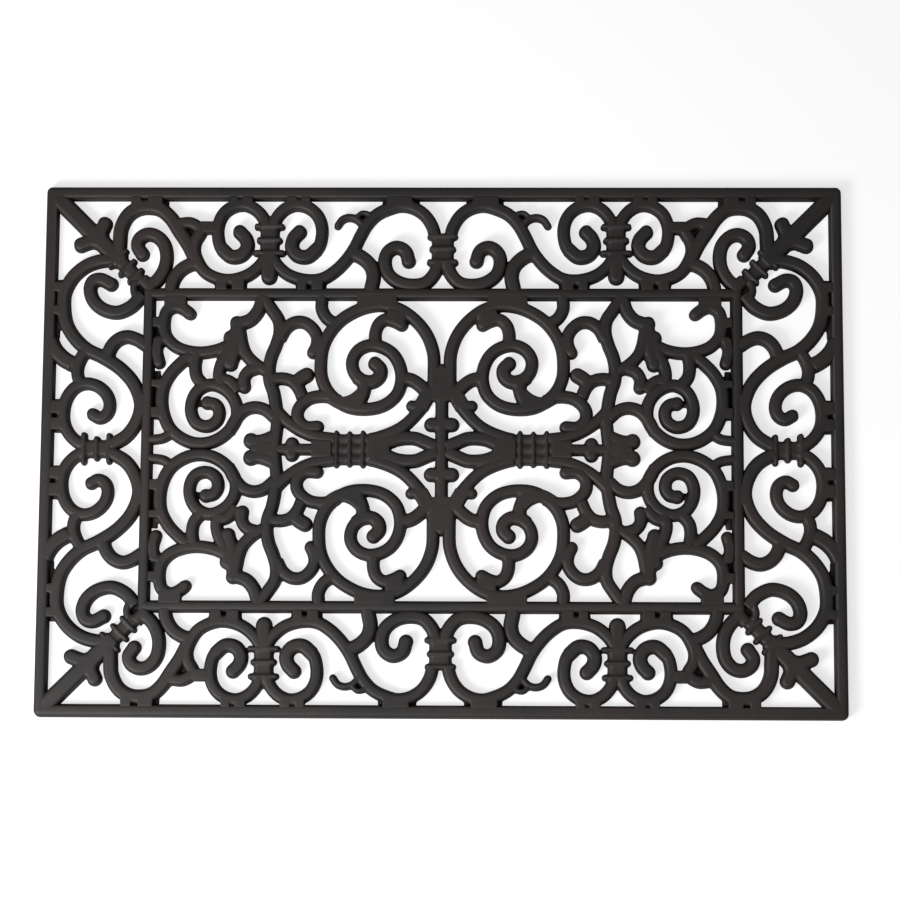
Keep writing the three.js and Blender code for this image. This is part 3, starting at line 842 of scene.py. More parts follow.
@dataclass
class CornerVolutes(Member):
    """The two volutes that curl back on both sides of the corner's collar."""

    name: ClassVar[str] = "corner_volutes"

    long: Line = (
        (26.1, 25.7), (28.3, 24), (30, 21.3), (30.6, 18.2), (30, 14.8), (28.1, 12.6), (25.8, 12.1),
        (23.8, 13.2), (23.2, 15), (24.5, 17.2),
    )
    side: Line = (
        (24.8, 27.6), (23.6, 29), (21.9, 30.7), (18.6, 32.1), (14.8, 31.2), (12.3, 28.9),
        (11.5, 26), (12.4, 24.1), (14.3, 23.7), (16.8, 24.9),
    )
    root: Line = ((24.7, 23.6), (27.4, 26.6))
    yoke: Line = ((23.1, 24.2), (22.6, 26.3), (23.4, 28.6))
    # A low rubber web in the open gap at the collar's root: painted shade, standing in for the
    # floor's shadow there.
    root_shaded_gap: Line = ((24.2, 24.8), (24.2, 28.2))
    shade_web_width: float = 9
    root_width: float = 10.4
    yoke_width: float = 7
    volute_radius: float = 5.6

    def drawing(self) -> list[Bar]:
        """List the bars of one quarter."""
        return [
            Bar(self.long, self.wide_width, end_radius=self.volute_radius),
            Bar(self.side, self.wide_width, end_radius=self.volute_radius),
            Bar(self.root, self.root_width),
            Bar(self.yoke, self.yoke_width),
            *self.shade_webs(self.root_shaded_gap),
        ]


@dataclass
class LongArm(Member):
    """The outer arm from the spear along the long rail, down to the inner corner."""

    name: ClassVar[str] = "long_arm"

    arm: Line = (
        (18.6, 18), (18.7, 14), (19, 10.5), (20.7, 7.2), (23.25, 5.5), (26.05, 5.1), (28.95, 5.7),
        (31.45, 7.8), (33.65, 11.1), (35.95, 14.6), (37.75, 18.2), (38.35, 19.4),
    )
    leaf: Line = ((32.05, 9.9), (34.45, 9.4), (36.65, 9.3), (38.75, 10.5), (39.55, 12))
    rail_lugs: tuple[Line, ...] = (((21.55, 4), (24.15, 4)), ((25.85, 4), (29.55, 4)))
    # Low rubber webs in open gaps beside the rail and leaf: painted shade, standing in for the
    # floor's shadow.
    shaded_gaps: tuple[Line, ...] = (((21.75, 4), (30.95, 4)), ((36.45, 11), (36.95, 13.2)))
    arm_width: float = 11.4

    def drawing(self) -> list[Bar]:
        """List the bars of one quarter."""
        return [
            Bar(self.arm, self.arm_width),
            Bar(self.leaf, self.scroll_width),
            *self.lugs(self.rail_lugs),
            *self.shade_webs(*self.shaded_gaps),
        ]


@dataclass
class SideArm(Member):
    """The outer arm from the spear along the short rail, with its leaf, link and hook."""

    name: ClassVar[str] = "side_arm"

    arm: Line = (
        (18, 18.7), (14.3, 18.9), (10.6, 20.2), (7.2, 23.1), (5.2, 27), (5, 30.7), (5.8, 35.1),
        (8, 38.7), (11.1, 41.5), (15, 43.4), (19.6, 46.4), (23.1, 50.4), (24.8, 55.3), (24.1, 59.4),
        (21.6, 63.3), (17.4, 65.9),
    )
    link: Line = ((11.3, 41.3), (9.7, 43.7), (8.8, 46.3), (9, 48.7), (10.3, 50.7))
    rail_leaf: Line = ((1.8, 39.2), (3, 41.6), (5.1, 43.8), (7.8, 45.4))
    hook: Line = (
        (26.9, 41), (25.7, 40.3), (23.7, 39), (21.3, 38.3), (19, 39), (17.3, 40.7), (16.3, 43),
    )
    seat: Line = ((25.2, 52.8), (25.3, 57.8))
    rail_lugs: tuple[Line, ...] = (((4, 24.6), (4, 27)), ((4, 30.6), (4, 32.9)))
    # Low rubber webs in open gaps beside the rail: painted shade, standing in for the floor's
    # shadow.
    shaded_gaps: tuple[Line, ...] = (((4, 23.6), (4, 33.2)), ((3.4, 33), (3.3, 38.6)))
    rail_leaf_width: float = 12.6
    seat_width: float = 7

    def drawing(self) -> list[Bar]:
        """List the bars of one quarter."""
        return [
            Bar(self.arm, self.wide_width),
            Bar(self.link, self.scroll_width),
            Bar(self.rail_leaf, self.rail_leaf_width),
            Bar(self.hook, self.wide_width),
            *self.seats(self.seat_width, self.seat),
            *self.lugs(self.rail_lugs),
            *self.shade_webs(*self.shaded_gaps),
        ]


@dataclass
class Palmette(Member):
    """Two coils on a ribbed collar, with a finial below."""

    name: ClassVar[str] = "palmette"

    coil: Line = (
        (55.6, 10), (55, 8.2), (53.5, 6.2), (51.7, 5), (49.7, 4.5), (47, 5.1), (44.8, 6.8),
        (43.6, 9.3), (43.4, 12.3), (44.4, 15.7), (47, 17.7), (49.4, 17.2), (50.8, 15.2),
        (50.4, 13.2), (48.9, 11.5),
    )
    curl: Line = ((44.4, 15.7), (47, 17.8), (49.5, 17.4), (50.9, 15.3), (50.5, 13.2), (49, 11.5))
    neck: Line = ((PALMETTE_AXIS, 9), (PALMETTE_AXIS, 17.8))
    crotch: Line = ((PALMETTE_AXIS, 17), (PALMETTE_AXIS, 20))
    rib_ends: Line = ((53.4, 10.2), (54, 13.7), (53.2, 17))
    finial: Line = ((PALMETTE_AXIS, 18.7), (PALMETTE_AXIS, 22.9))
    rail_lugs: tuple[Line, ...] = (((46.2, 3.9), (48.5, 3.9)), ((49.7, 3.9), (52.3, 3.9)))
    # Low rubber webs in the open gaps beside the rail: painted shade, standing in for the floor's
    # shadow.
    shaded_gap: Line = ((46.3, 3.9), (52.3, 3.9))
    neck_width: float = 15
    crotch_width: float = 14
    finial_width: float = 13
    finial_radius: float = 6.3
    curl_width: float = 11.2
    curl_radius: float = 5.7

    def drawing(self) -> list[Bar]:
        """List the bars of one quarter."""
        return [
            Bar(self.coil, self.scroll_width),
            Bar(across_palmette(self.coil), self.scroll_width),
            Bar(self.curl, self.curl_width, end_radius=self.curl_radius),
            Bar(across_palmette(self.curl), self.curl_width, end_radius=self.curl_radius),
            Bar(self.neck, self.neck_width, self.neck_height),
            Bar(self.crotch, self.crotch_width),
            Bar(self.finial, self.finial_width, end_radius=self.finial_radius),
            *self.ribs(self.rib_ends, across_palmette(self.rib_ends)),
            *self.lugs(self.rail_lugs),
            *self.lugs(across_palmette(line) for line in self.rail_lugs),
            *self.shade_webs(self.shaded_gap, across_palmette(self.shaded_gap)),
        ]


@dataclass
class BorderArm(Member):
    """The palmette's arm towards the corner."""

    name: ClassVar[str] = "border_arm"

    arm: Line = (
        (55.75, 17.7), (54.05, 20.2), (51.05, 22.6), (46.75, 23.8), (43.35, 23.3), (40.25, 21.6),
        (38.35, 18.8), (37.55, 16.3), (37.85, 13.9), (38.95, 12), (39.55, 10.6),
    )
    bridge: Line = ((38.9, 10.5), (43.35, 10.5))
    hook: Line = (
        (39.05, 19.3), (36.35, 20), (34.05, 21.5), (32.55, 23.7), (31.95, 25.9), (31.95, 27.2),
    )
    rail_lugs: tuple[Line, ...] = (((43.35, 25.2), (46.05, 25.2)), ((47.25, 25.2), (50.35, 25.2)))
    # A low rubber web in the open gap beside the rail: painted shade, standing in for the floor's
    # shadow.
    shaded_gap: Line = ((42.75, 25.2), (50.95, 25.2))
    bridge_width: float = 9.6

    def drawing(self) -> list[Bar]:
        """List the bars of one quarter."""
        return [
            Bar(self.arm, self.scroll_width),
            Bar(self.hook, self.wide_width),
            *self.seats(self.bridge_width, self.bridge),
            *self.lugs(self.rail_lugs),
            *self.shade_webs(self.shaded_gap),
        ]


@dataclass
class BorderWave(Member):
    """The palmette's arm towards the middle, which runs on as a wave."""

    name: ClassVar[str] = "border_wave"

    wave: Line = (
        (57, 17.7), (58.7, 20.2), (61.7, 22.6), (66, 23.8), (69.7, 23.5), (72.9, 21.6),
        (75.5, 19), (77.7, 15.8), (79.3, 12.5), (81, 9.5), (83.4, 7), (86.43, 5.5), (89.59, 4.7),
        (92.75, 5.3), (95.49, 7.1), (97.3, 9.8), (98.19, 12.9),
    )
    hook: Line = ((76.2, 16.6), (79.5, 17.8), (81.9, 20), (82.7, 22.6), (82.2, 25.7), (82, 27.2))
    tendril: Line = ((73.6, 9.9), (74.7, 8.4), (76.4, 7.8), (78.2, 8.2), (79.7, 9.6), (80.5, 11.2))
    curl: Line = ((82.7, 8.1), (81.2, 7), (79.7, 6.8), (78.5, 7.7))
    rail_lugs: tuple[Line, ...] = (
        ((85.92, 3.9), (92.45, 3.9)), ((63.7, 25.2), (66, 25.2)), ((67.2, 25.2), (70.1, 25.2)),
    )
    # Low rubber webs in open gaps beside the rails and curls: painted shade, standing in for the
    # floor's shadow.
    shaded_gaps: tuple[Line, ...] = (
        ((84.7, 3.9), (94.18, 3.9)), ((63.1, 25.2), (70.9, 25.2)), ((79.3, 8.6), (81.1, 8.6)),
        ((84.1, 18.8), (84.3, 21.2)),
    )
    hook_width: float = 11.4
    tendril_width: float = 6
    curl_width: float = 4.6

    def drawing(self) -> list[Bar]:
        """List the bars of one quarter."""
        return [
            Bar(self.wave, self.scroll_width),
            Bar(self.hook, self.hook_width),
            Bar(self.tendril, self.tendril_width, start_radius=self.tendril_width / 2),
            Bar(self.curl, self.curl_width),
            *self.lugs(self.rail_lugs),
            *self.shade_webs(*self.shaded_gaps),
        ]


@dataclass
class CenterVolutes(Member):
    """The pair of volutes on a ribbed collar at the middle of a long side."""

    name: ClassVar[str] = "center_volutes"
    repeat: ClassVar[Repeat] = Repeat.BACK_FRONT
    sides: ClassVar[tuple[Side, ...]] = (Side.BACK_LEFT, Side.BACK_RIGHT)

    volute: Line = (
        (99, 19), (98, 22), (95.7, 24.5), (92.3, 25.1), (89, 24.3), (86.4, 22.2), (85.5, 19.3),
        (86.1, 16.8), (88.3, 15.4), (90.6, 16.3), (91.5, 18.9),
    )
    neck: Line = ((MIDDLE_COLUMN, 12.8), (MIDDLE_COLUMN, 20.3))
    # A low rubber web in the open gap below the collar: painted shade, standing in for the floor's
    # shadow.
    shaded_gap: Line = ((MIDDLE_COLUMN, 20), (MIDDLE_COLUMN, 22.2))
    rib_ends: Line = ((96.9, 12.7), (97.4, 15.9), (96.8, 19.3))
    neck_width: float = 17
    volute_radius: float = 5.6

    def drawing(self) -> list[Bar]:
        """List the bars of one quarter."""
        middle = tuple((MIDDLE_COLUMN, row) for _, row in self.rib_ends)
        return [
            Bar(self.volute, self.wide_width, end_radius=self.volute_radius),
            Bar(self.neck, self.neck_width, self.neck_height),
            *self.ribs(self.rib_ends, middle),
            *self.shade_webs(self.shaded_gap),
        ]


@dataclass
class SideVolutes(Member):
    """The pair of volutes on a ribbed collar at the middle of a short side."""

    name: ClassVar[str] = "side_volutes"
    repeat: ClassVar[Repeat] = Repeat.LEFT_RIGHT
    sides: ClassVar[tuple[Side, ...]] = (Side.BACK_LEFT, Side.FRONT_LEFT)

    volute: Line = (
        (11.3, 66), (9, 64.8), (7, 62.8), (5.8, 60.2), (5.6, 57), (6.4, 53.8), (8.3, 51.3),
        (11, 50.2), (13.9, 50.8), (16.3, 53), (17.1, 55.7), (16.5, 57.9), (14.8, 58.9), (13, 58),
    )
    neck: Line = ((9.5, MIDDLE_ROW), (19.3, MIDDLE_ROW))
    rail_lugs: tuple[Line, ...] = (((4, 54.7), (4, 57.9)), ((4, 59), (4, 62)))
    # A low rubber web in the open gap beside the rail: painted shade, standing in for the floor's
    # shadow.
    shaded_gap: Line = ((4, 54), (4, 62.6))
    rib_ends: Line = ((11, 63.3), (14.2, 64.3), (17.3, 63.5))
    neck_width: float = 14

    def drawing(self) -> list[Bar]:
        """List the bars of one quarter."""
        middle = tuple((column, MIDDLE_ROW) for column, _ in self.rib_ends)
        return [
            Bar(self.volute, self.scroll_width, end_radius=self.bulb_radius),
            Bar(self.neck, self.neck_width, self.neck_height),
            *self.ribs(self.rib_ends, middle),
            *self.lugs(self.rail_lugs),
            *self.shade_webs(self.shaded_gap),
        ]


@dataclass
class FieldSpine(Member):
    """The straight bar in the middle of the field, with two cross lobes."""

    name: ClassVar[str] = "field_spine"
    repeat: ClassVar[Repeat] = Repeat.ONCE
    sides: ClassVar[tuple[Side, ...]] = tuple(Side)

    spine: Line = ((MIDDLE_COLUMN, 46.6), (MIDDLE_COLUMN, MIDDLE_ROW))
    crown: Line = ((MIDDLE_COLUMN, 46.2), (MIDDLE_COLUMN, 54.6))
    lobe: Line = ((MIDDLE_COLUMN, 60.4), (97.4, 60.4))
    spine_width: float = 10
    crown_width: float = 16
    lobe_width: float = 11.2

    def drawing(self) -> list[Bar]:
        """List the bars of one quarter."""
        return [
            Bar(self.spine, self.spine_width, start_radius=self.spine_width / 2),
            *self.seats(self.crown_width, self.crown),
            Bar(self.lobe, self.lobe_width, end_radius=self.lobe_width / 2),
        ]


@dataclass
class SideBundle(Member):
    """The ribbed bundle beside the middle, with its arms, axle and trefoil."""

    name: ClassVar[str] = "side_bundle"
    repeat: ClassVar[Repeat] = Repeat.LEFT_RIGHT
    sides: ClassVar[tuple[Side, ...]] = (Side.BACK_LEFT, Side.FRONT_LEFT)

    body: Line = ((71.7, MIDDLE_ROW), (82.7, MIDDLE_ROW))
    head: Line = ((67.7, MIDDLE_ROW), (72.7, MIDDLE_ROW))
    tail: Line = ((81.5, MIDDLE_ROW), (87.1, MIDDLE_ROW))
    arm_seat: Line = ((97.4, 51.4), (94.8, 56))
    rib_ends: Line = ((73.9, 62.6), (77.2, 62.8), (80.5, 62.6))
    lower_arm: Line = (
        (97.4, 51.7), (96, 54.5), (94.5, 56.7), (91, 60.4), (87.9, 62.3), (83.7, 63.8),
        (82.2, 64.1),
    )
    eye_arm: Line = (
        (82.2, 65.7), (86.5, 65), (88.6, 64.2), (91, 63.8), (93.6, 63.9), (95.9, 64.8), (99, 66.1),
    )
    strands: tuple[Line, ...] = (
        ((72.2, 64.1), (82.2, 64.1)), ((72.2, MIDDLE_ROW), (82.2, MIDDLE_ROW)),
    )
    lobe: Line = ((94.9, 56.1), (92.5, 55.7))
    axle: Line = ((52.7, MIDDLE_ROW), (70.7, MIDDLE_ROW))
    bead: Share = (62.8, 65.3)
    trefoil: Line = ((58.7, 63.2), (56.8, 64.1), (54.8, 64.7), (52.6, 64.6))
    trefoil_lobe: Share = (52.6, 64.55)
    plaque: Line = ((54.2, MIDDLE_ROW), (58.2, MIDDLE_ROW))
    body_width: float = 23.4
    body_height: float = 7.2
    head_width: float = 17.5
    tail_width: float = 20
    plaque_width: float = 14
    strand_width: float = 8.4
    bundle_rib_width: float = 4.2
    axle_width: float = 9.2
    lobe_width: float = 9
    arm_seat_width: float = 12
    bead_radius: float = 5.4
    trefoil_width: float = 10.8
    trefoil_radius: float = 6.2

    def drawing(self) -> list[Bar]:
        """List the bars of one quarter."""
        middle = tuple((column, MIDDLE_ROW) for column, _ in self.rib_ends)
        return [
            Bar(self.body, self.body_width, self.body_height),
            *(Bar(line, self.strand_width, self.neck_height) for line in self.strands),
            *self.ribs(self.rib_ends, middle, self.bundle_rib_width),
            Bar(self.lower_arm, self.scroll_width),
            Bar(self.eye_arm, self.wide_width),
            Bar(self.lobe, self.lobe_width, end_radius=self.lobe_width / 2),
            *self.seats(self.arm_seat_width, self.arm_seat),
            Bar(self.head, self.head_width),
            Bar(self.tail, self.tail_width),
            Bar(self.axle, self.axle_width),
            Bar((self.bead,), end_radius=self.bead_radius),
            Bar(self.trefoil, self.trefoil_width),
            Bar((self.trefoil_lobe,), end_radius=self.trefoil_radius),
            Bar(self.plaque, self.plaque_width),
        ]


@dataclass
class GreatScroll(Member):
    """The great scroll of the field, with its stems, lobe, branch and hooks."""

    name: ClassVar[str] = "great_scroll"

    scroll: Line = (
        (98.3, 53.6), (98, 51), (98, 47), (97.8, 42.2), (96.1, 37.5), (93, 33.7), (89.3, 31.2),
        (85.3, 30.2), (81.3, 30.6), (77.7, 32), (74.4, 34.2), (71.8, 37.3), (70.2, 40.8),
        (69.7, 44.7), (70, 48.7), (71.9, 52.5), (76.3, 55.8), (81.3, 56.5), (85.8, 55.4),
        (88.8, 52.7), (89.9, 49), (89.4, 45.4), (87.6, 42.4), (84.7, 40.7), (81.7, 40.4),
        (79, 41.7), (77.6, 44.2), (78, 47), (80, 49.3), (82.7, 49.6), (84.4, 48.3), (84.7, 46.3),
        (83.3, 45),
    )
    curl: Line = ((78.6, 48.2), (80.2, 49.3), (82.7, 49.6), (84.4, 48.3), (84.6, 46.4), (83.3, 45))
    top_stem: Line = (
        (89.9, 35.2), (88.2, 34.3), (85.9, 33.8), (84.1, 35), (83.3, 37.2), (83.3, 39.7),
    )
    lobe: Share = (89.8, 33.8)
    stem_seat: Line = ((86.3, 32.4), (90.6, 33.4))
    bottom_stem: Line = ((80.6, 49.3), (80.5, 52), (79.5, 54.6), (79.2, 56))
    belly: Line = ((72.3, 53.7), (75.2, 55.1), (78, 54.3), (79.9, 52.8))
    branch: Line = ((89.7, 48.8), (92.4, 49.1), (94.9, 50.8), (96.7, 53))
    hook: Line = (
        (74.3, 54.4), (72.2, 53.5), (69.7, 53.3), (67.2, 53.8), (65.2, 55.2), (64.1, 57),
        (64.3, 59.3), (66.2, 61), (69.1, 61),
    )
    rail_hook: Line = ((69.8, 27.4), (69.8, 28.7), (69.8, 31), (71, 33.3), (73, 34.8))
    rail_lugs: tuple[Line, ...] = (((78.7, 29.3), (88.7, 29.3)),)
    lobe_radius: float = 5.3
    seat_width: float = 7
    curl_width: float = 11
    curl_radius: float = 5.6

    def drawing(self) -> list[Bar]:
        """List the bars of one quarter."""
        return [
            Bar(self.scroll, self.scroll_width),
            Bar(self.curl, self.curl_width, end_radius=self.curl_radius),
            *self.seats(self.seat_width, self.stem_seat),
            Bar(self.top_stem, self.scroll_width, start_radius=self.scroll_width / 2),
            Bar((self.lobe,), end_radius=self.lobe_radius),
            Bar(self.bottom_stem, self.wide_width),
            *self.lugs([self.belly]),
            Bar(self.branch, self.wide_width),
            Bar(self.hook, self.scroll_width, end_radius=self.bulb_radius),
            Bar(self.rail_hook, self.scroll_width),
            *self.lugs(self.rail_lugs),
        ]


@dataclass
class FieldLeg(Member):
    """The leg that runs down the field, with its arch, branch, knob and arm."""

    name: ClassVar[str] = "field_leg"

    leg: Line = (
        (54.8, 27.6), (55.7, 29), (57.3, 31.3), (59, 34), (59.3, 37), (58.5, 40.2), (57.3, 43.3),
        (56.8, 46.3), (57, 49.4), (58, 52.3), (58.7, 56.2), (59, 60), (58.7, 63.3), (58.3, 67),
    )
    arch: Line = (
        (59.4, 38.8), (60.9, 36.1), (63.1, 34.6), (65.5, 34.6), (67.5, 36), (68.7, 38.2),
        (68.6, 40.3), (67.8, 42.2),
    )
    arch_seat: Line = ((69.6, 38.4), (69.3, 42.4))
    branch: Line = ((57, 49.3), (60, 48.8), (62.5, 49.4), (64.2, 51.2), (65.3, 53.7))
    knob: Line = ((63, 51), (64.6, 49), (66.3, 47.9))
    arm: Line = ((58.6, 56.7), (60.8, 59), (63.1, 60.8), (65.7, 62.3), (68.7, 63.4), (73.6, 64.1))
    leg_width: float = 10.2
    knob_width: float = 11.8
    knob_radius: float = 5.8
    seat_width: float = 7

    def drawing(self) -> list[Bar]:
        """List the bars of one quarter."""
        return [
            Bar(self.leg, self.leg_width),
            Bar(self.arch, self.scroll_width, end_radius=self.bulb_radius),
            *self.seats(self.seat_width, self.arch_seat),
            Bar(self.branch, self.scroll_width),
            Bar(self.knob, self.knob_width, end_radius=self.knob_radius),
            Bar(self.arm, self.scroll_width),
        ]


@dataclass
class SmallSpiral(Member):
    """The small spiral near the field's end, with its stem and band."""

    name: ClassVar[str] = "small_spiral"

    spiral: Line = (
        (37.3, 42.8), (34.5, 45.2), (32.2, 47.7), (30.5, 51), (30.1, 54.7), (30.7, 58.2),
        (32.3, 61.5), (35.1, 63.9), (38.7, 65.2), (42.3, 65), (45.4, 63.5), (47.7, 61.1),
        (48.9, 58.3), (48.5, 54.8), (46.2, 51.8), (42.7, 50.4), (39.6, 51.5), (37.8, 54.2),
        (37.5, 57.4), (38.9, 60.1), (41.8, 60.9), (44, 59.5), (44.5, 57.1), (43.5, 55.4),
        (41.6, 55),
    )
    stem: Line = ((39, 42), (38.3, 45.2), (38.7, 48.3), (40.7, 50.7))
    band: Line = ((46.9, 62.5), (48.7, 59.1), (50.8, 56.9), (53.4, 56.1), (56, 56.7), (58.6, 58.9))
    rail_hook: Line = ((26.6, 64.4), (28, 64.3), (30.7, 63.9), (32.7, 62.7))
    rail_lugs: tuple[Line, ...] = (((29, 49.4), (29, 51.2)), ((29, 56.3), (29, 58.9)))
    # Low rubber webs in open gaps beside the rail and in the spiral: painted shade, standing in for
    # the floor's shadow.
    shaded_gaps: tuple[Line, ...] = (((28.9, 46.8), (28.9, 59.2)), ((39, 55.2), (41, 55.2)))
    end_radius: float = 5.4
    rail_hook_width: float = 8

    def drawing(self) -> list[Bar]:
        """List the bars of one quarter."""
        return [
            Bar(self.spiral, self.scroll_width, end_radius=self.end_radius),
            Bar(self.stem, self.scroll_width),
            Bar(self.band, self.scroll_width),
            Bar(self.rail_hook, self.rail_hook_width),
            *self.lugs(self.rail_lugs),
            *self.shade_webs(*self.shaded_gaps),
        ]


@dataclass
class LeafTrunk(Member):
    """The trunk of three stems that spreads from a lobe, with its coil and knob."""

    name: ClassVar[str] = "leaf_trunk"

    root_leg: Line = ((55, 27.4), (54.7, 29.2), (53.8, 31.8), (51.9, 34), (49, 35))
    lobe: Share = (48.6, 34.8)
    shoulder: Share = (47, 38.5)
    trunk_left: Line = (
        (48.9, 34.6), (48.6, 36.4), (47.3, 38.9), (46, 42.7), (44.8, 45.3), (44.3, 47.7),
        (44.8, 50.7),
    )
    trunk_middle: Line = ((48.7, 34.7), (48.5, 38.3), (48.1, 42.3), (47.2, 45.2))
    trunk_right: Line = (
        (48.8, 34.7), (49.4, 37.3), (50, 40.3), (51, 42.7), (53.3, 45.1), (56.4, 47),
    )
    knob: Line = ((54, 46.2), (51.8, 47), (50.6, 48.8), (50.7, 51))
    bridge: Line = ((44.7, 49), (47, 49.6), (49.3, 52.2))
    coil: Line = (
        (36.9, 32.5), (35.3, 31.3), (33.2, 30.6), (31, 31.8), (30.3, 34.8), (30.8, 38), (33, 40.5),
        (36.3, 41.9), (40, 42.3), (43.7, 41.7), (46, 40.8),
    )
    rail_lobe: Line = ((29.7, 38.6), (28.6, 41.6), (29.3, 44.9))
    lobe_seat: Line = ((28.9, 38.8), (28.9, 43))
    rail_lugs: tuple[Line, ...] = (((29, 33.5), (29, 36)), ((30.4, 29.4), (36, 29.4)))
    # A low rubber web in the open gap beside the rail: painted shade, standing in for the floor's
    # shadow.
    shaded_gap: Line = ((28.9, 35.6), (28.9, 39.2))
    lobe_radius: float = 5.7
    coil_radius: float = 4.7
    rail_lobe_width: float = 9.6
    rail_lobe_radius: float = 4.9
    lobe_seat_width: float = 7

    def drawing(self) -> list[Bar]:
        """List the bars of one quarter."""
        return [
            Bar(self.root_leg, self.wide_width),
            Bar((self.lobe,), end_radius=self.lobe_radius),
            Bar((self.shoulder,), end_radius=self.lobe_radius),
            Bar(self.trunk_left, self.scroll_width),
            Bar(self.trunk_middle, self.wide_width, end_radius=self.lobe_radius),
            Bar(self.trunk_right, self.scroll_width),
            Bar(self.knob, self.scroll_width, end_radius=self.bulb_radius),
            Bar(self.bridge, self.scroll_width),
            Bar(self.coil, self.scroll_width, start_radius=self.coil_radius),
            Bar(self.rail_lobe, self.rail_lobe_width, end_radius=self.rail_lobe_radius),
            *self.seats(self.lobe_seat_width, self.lobe_seat),
            *self.lugs(self.rail_lugs),
            *self.shade_webs(self.shaded_gap),
        ]


@dataclass
class RailRing:
    """A rectangular ring of rail, cut at its mitres into four rails."""

    name: str
    length: float
    width: float
    bar_width: float
    rounding: float = 0.0
    height: float = 9.0
    rounding_segments: int = 8
    merge_radius: float = 0.2
    merge_distance: float = 1.0

    def build(self, moulder: Moulder, material: bpy.types.Material) -> None:
        """Model the ring from a plane, crown it and cut it into rails.

        Args:
            moulder: What holds the shape of the crown.
            material: The rubber.
        """
        ring = self._ring(moulder.crown)
        long_reach, short_reach = self.length / 2 * MM, self.width / 2 * MM
        places = {"back": (0, 1), "left": (-1, 0), "front": (0, -1), "right": (1, 0)}
        for place, (x, y) in places.items():
            only(ring)
            bpy.ops.object.duplicate(linked=False)
            rail = bpy.context.object
            outward = Vector((x, y, 0))
            along = Vector((-y, x, 0))
            for turn in (-1, 1):
                corner = Vector(((x - y * turn) * long_reach, (y + x * turn) * short_reach, 0))
                trim(rail, corner, along * turn - outward)
            moulder.shade(rail)
            settle(rail, f"{self.name}_{place}", material)
        bpy.data.objects.remove(ring)

    def _ring(self, crown: Crown) -> bpy.types.Object:
        """Model the whole ring: a plane, raised step by step from its rim and lowered again inside.

        Args:
            crown: The shape of its top.

        Returns:
            The ring as one closed mesh.
        """
        deselect()
        bpy.ops.mesh.primitive_plane_add(size=1)
        ring = bpy.context.object
        ring.scale = (self.length * MM, self.width * MM, 1)
        bpy.ops.object.transform_apply(scale=True)
        climb = crown.climb(self.bar_width / 2, self.height)
        top_width = self.bar_width - 2 * sum(inset for inset, _ in climb)
        bpy.ops.object.mode_set(mode="EDIT")
        bpy.ops.mesh.select_all(action="SELECT")
        if self.rounding > 0:
            bpy.ops.mesh.bevel(
                offset=self.rounding * MM, segments=self.rounding_segments, affect="VERTICES"
            )
        crown_faces(climb)
        if self.rounding > 0:
            to_merge = self.rounding - self.merge_radius - sum(inset for inset, _ in climb)
            crown_faces([(to_merge, 0.0)])
            bpy.ops.mesh.remove_doubles(threshold=self.merge_distance * MM)
            top_width -= to_merge
        crown_faces([(top_width, 0.0)])
        crown_faces([(inset, -rise) for inset, rise in reversed(climb)])
        bpy.ops.mesh.delete(type="ONLY_FACE")
        bpy.ops.mesh.select_mode(type="EDGE")
        bpy.ops.mesh.select_all(action="DESELECT")
        bpy.ops.mesh.select_non_manifold()
        bpy.ops.mesh.bridge_edge_loops()
        bpy.ops.mesh.select_mode(type="FACE")
        bpy.ops.mesh.select_all(action="SELECT")
        bpy.ops.mesh.normals_make_consistent(inside=False)
        bpy.ops.object.mode_set(mode="OBJECT")
        return ring


@dataclass(frozen=True)
class Lamp:
    """A square soft box that looks at the mat, its place and size in metres, its power in watts."""

    name: str
    place: tuple[float, float, float]
    size: float
    power: float


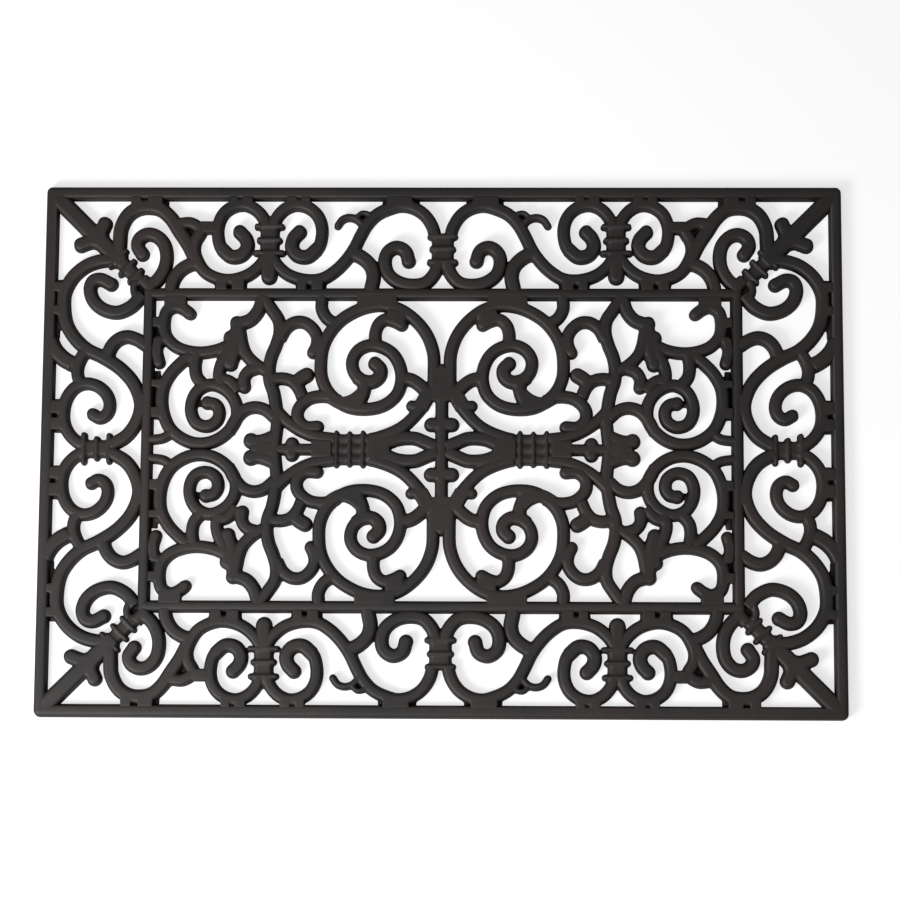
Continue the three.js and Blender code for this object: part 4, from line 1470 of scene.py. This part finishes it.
@dataclass
class Studio:
    """The floor, lamps, surround and camera, in metres, with the lens and sensor in millimetres."""

    floor_size: float = 12.0
    surround: str = "d9d9d9"
    surround_strength: float = 0.25
    backdrop: str = "ffffff"
    backdrop_strength: float = 1.0
    lens: float = 112.0
    sensor_width: float = 36.0
    camera_place: tuple[float, float, float] = (0.0489, -0.302, 2.0665)
    camera_turn: tuple[float, float, float] = (0.14525, 0.01986, 0.0054)
    lamps: tuple[Lamp, ...] = (
        Lamp("key_softbox", (-0.8, -0.72, 0.85), 0.55, 19.5),
        Lamp("fill_softbox", (-0.6, -0.65, 2.0), 1.2, 9.6),
    )

    def build(self) -> None:
        """Set the studio up."""
        self._floor()
        for lamp in self.lamps:
            self._lamp(lamp)
        self._surround()
        self._camera()
        bpy.context.scene.view_settings.view_transform = "Standard"

    def _floor(self) -> None:
        """Lay the studio paper under the mat."""
        deselect()
        bpy.ops.mesh.primitive_plane_add(size=self.floor_size, location=(0, 0, 0))
        floor = bpy.context.object
        floor.name = "studio_floor"
        bpy.ops.object.transform_apply(location=True, rotation=True, scale=True)
        floor.data.materials.append(StudioFloor().material())
        LOG.info("floor laid")

    def _lamp(self, lamp: Lamp) -> None:
        """Hang one soft box and aim it at the mat.

        Args:
            lamp: The soft box.
        """
        bpy.ops.object.light_add(type="AREA", location=lamp.place)
        light = bpy.context.object
        light.name = lamp.name
        light.rotation_euler = (-Vector(lamp.place)).to_track_quat("-Z", "Y").to_euler()
        light.data.size = lamp.size
        light.data.energy = lamp.power
        LOG.info("%s hung", lamp.name)

    def _surround(self) -> None:
        """Light the room evenly, and show white wherever the camera sees past the floor."""
        world = bpy.data.worlds.new("studio_room")
        bpy.context.scene.world = world
        world.use_nodes = True
        tree = world.node_tree
        tree.nodes.clear()
        rays = add_node(tree, "ShaderNodeLightPath")
        room = add_node(
            tree,
            "ShaderNodeBackground",
            {"Color": linear(self.surround), "Strength": self.surround_strength},
        )
        white = add_node(
            tree,
            "ShaderNodeBackground",
            {"Color": linear(self.backdrop), "Strength": self.backdrop_strength},
        )
        mix = add_node(
            tree,
            "ShaderNodeMixShader",
            {
                0: rays.outputs["Is Camera Ray"],
                1: room.outputs["Background"],
                2: white.outputs["Background"],
            },
        )
        add_node(tree, "ShaderNodeOutputWorld", {"Surface": mix.outputs["Shader"]})

    def _camera(self) -> None:
        """Set the camera up almost overhead, a little in front of the mat."""
        bpy.ops.object.camera_add(location=self.camera_place, rotation=self.camera_turn)
        camera = bpy.context.object
        camera.name = "overhead_camera"
        camera.data.lens = self.lens
        camera.data.sensor_width = self.sensor_width
        bpy.context.scene.camera = camera


MEMBERS: tuple[type[Member], ...] = (
    CornerSpear,
    CornerVolutes,
    LongArm,
    SideArm,
    Palmette,
    BorderArm,
    BorderWave,
    CenterVolutes,
    SideVolutes,
    FieldSpine,
    SideBundle,
    GreatScroll,
    FieldLeg,
    SmallSpiral,
    LeafTrunk,
)


def main() -> None:
    """Build the mat and its studio, in order."""
    logging.basicConfig(level=logging.INFO, format="%(message)s")
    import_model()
    Studio().build()
    rubber = MouldedRubber().material()
    moulder = Moulder()
    inner_length = PAPER.length - 2 * (PAPER.outer_rail + PAPER.side_border)
    inner_width = PAPER.width - 2 * (PAPER.outer_rail + PAPER.long_border)
    RailRing(
        "outer_rail", PAPER.length, PAPER.width, PAPER.outer_rail, PAPER.corner_rounding
    ).build(moulder, rubber)
    RailRing("inner_rail", inner_length, inner_width, PAPER.inner_rail).build(moulder, rubber)
    for order, member in enumerate(MEMBERS, start=1):
        member().build(moulder, rubber, order)


if __name__ == "__main__":
    main()
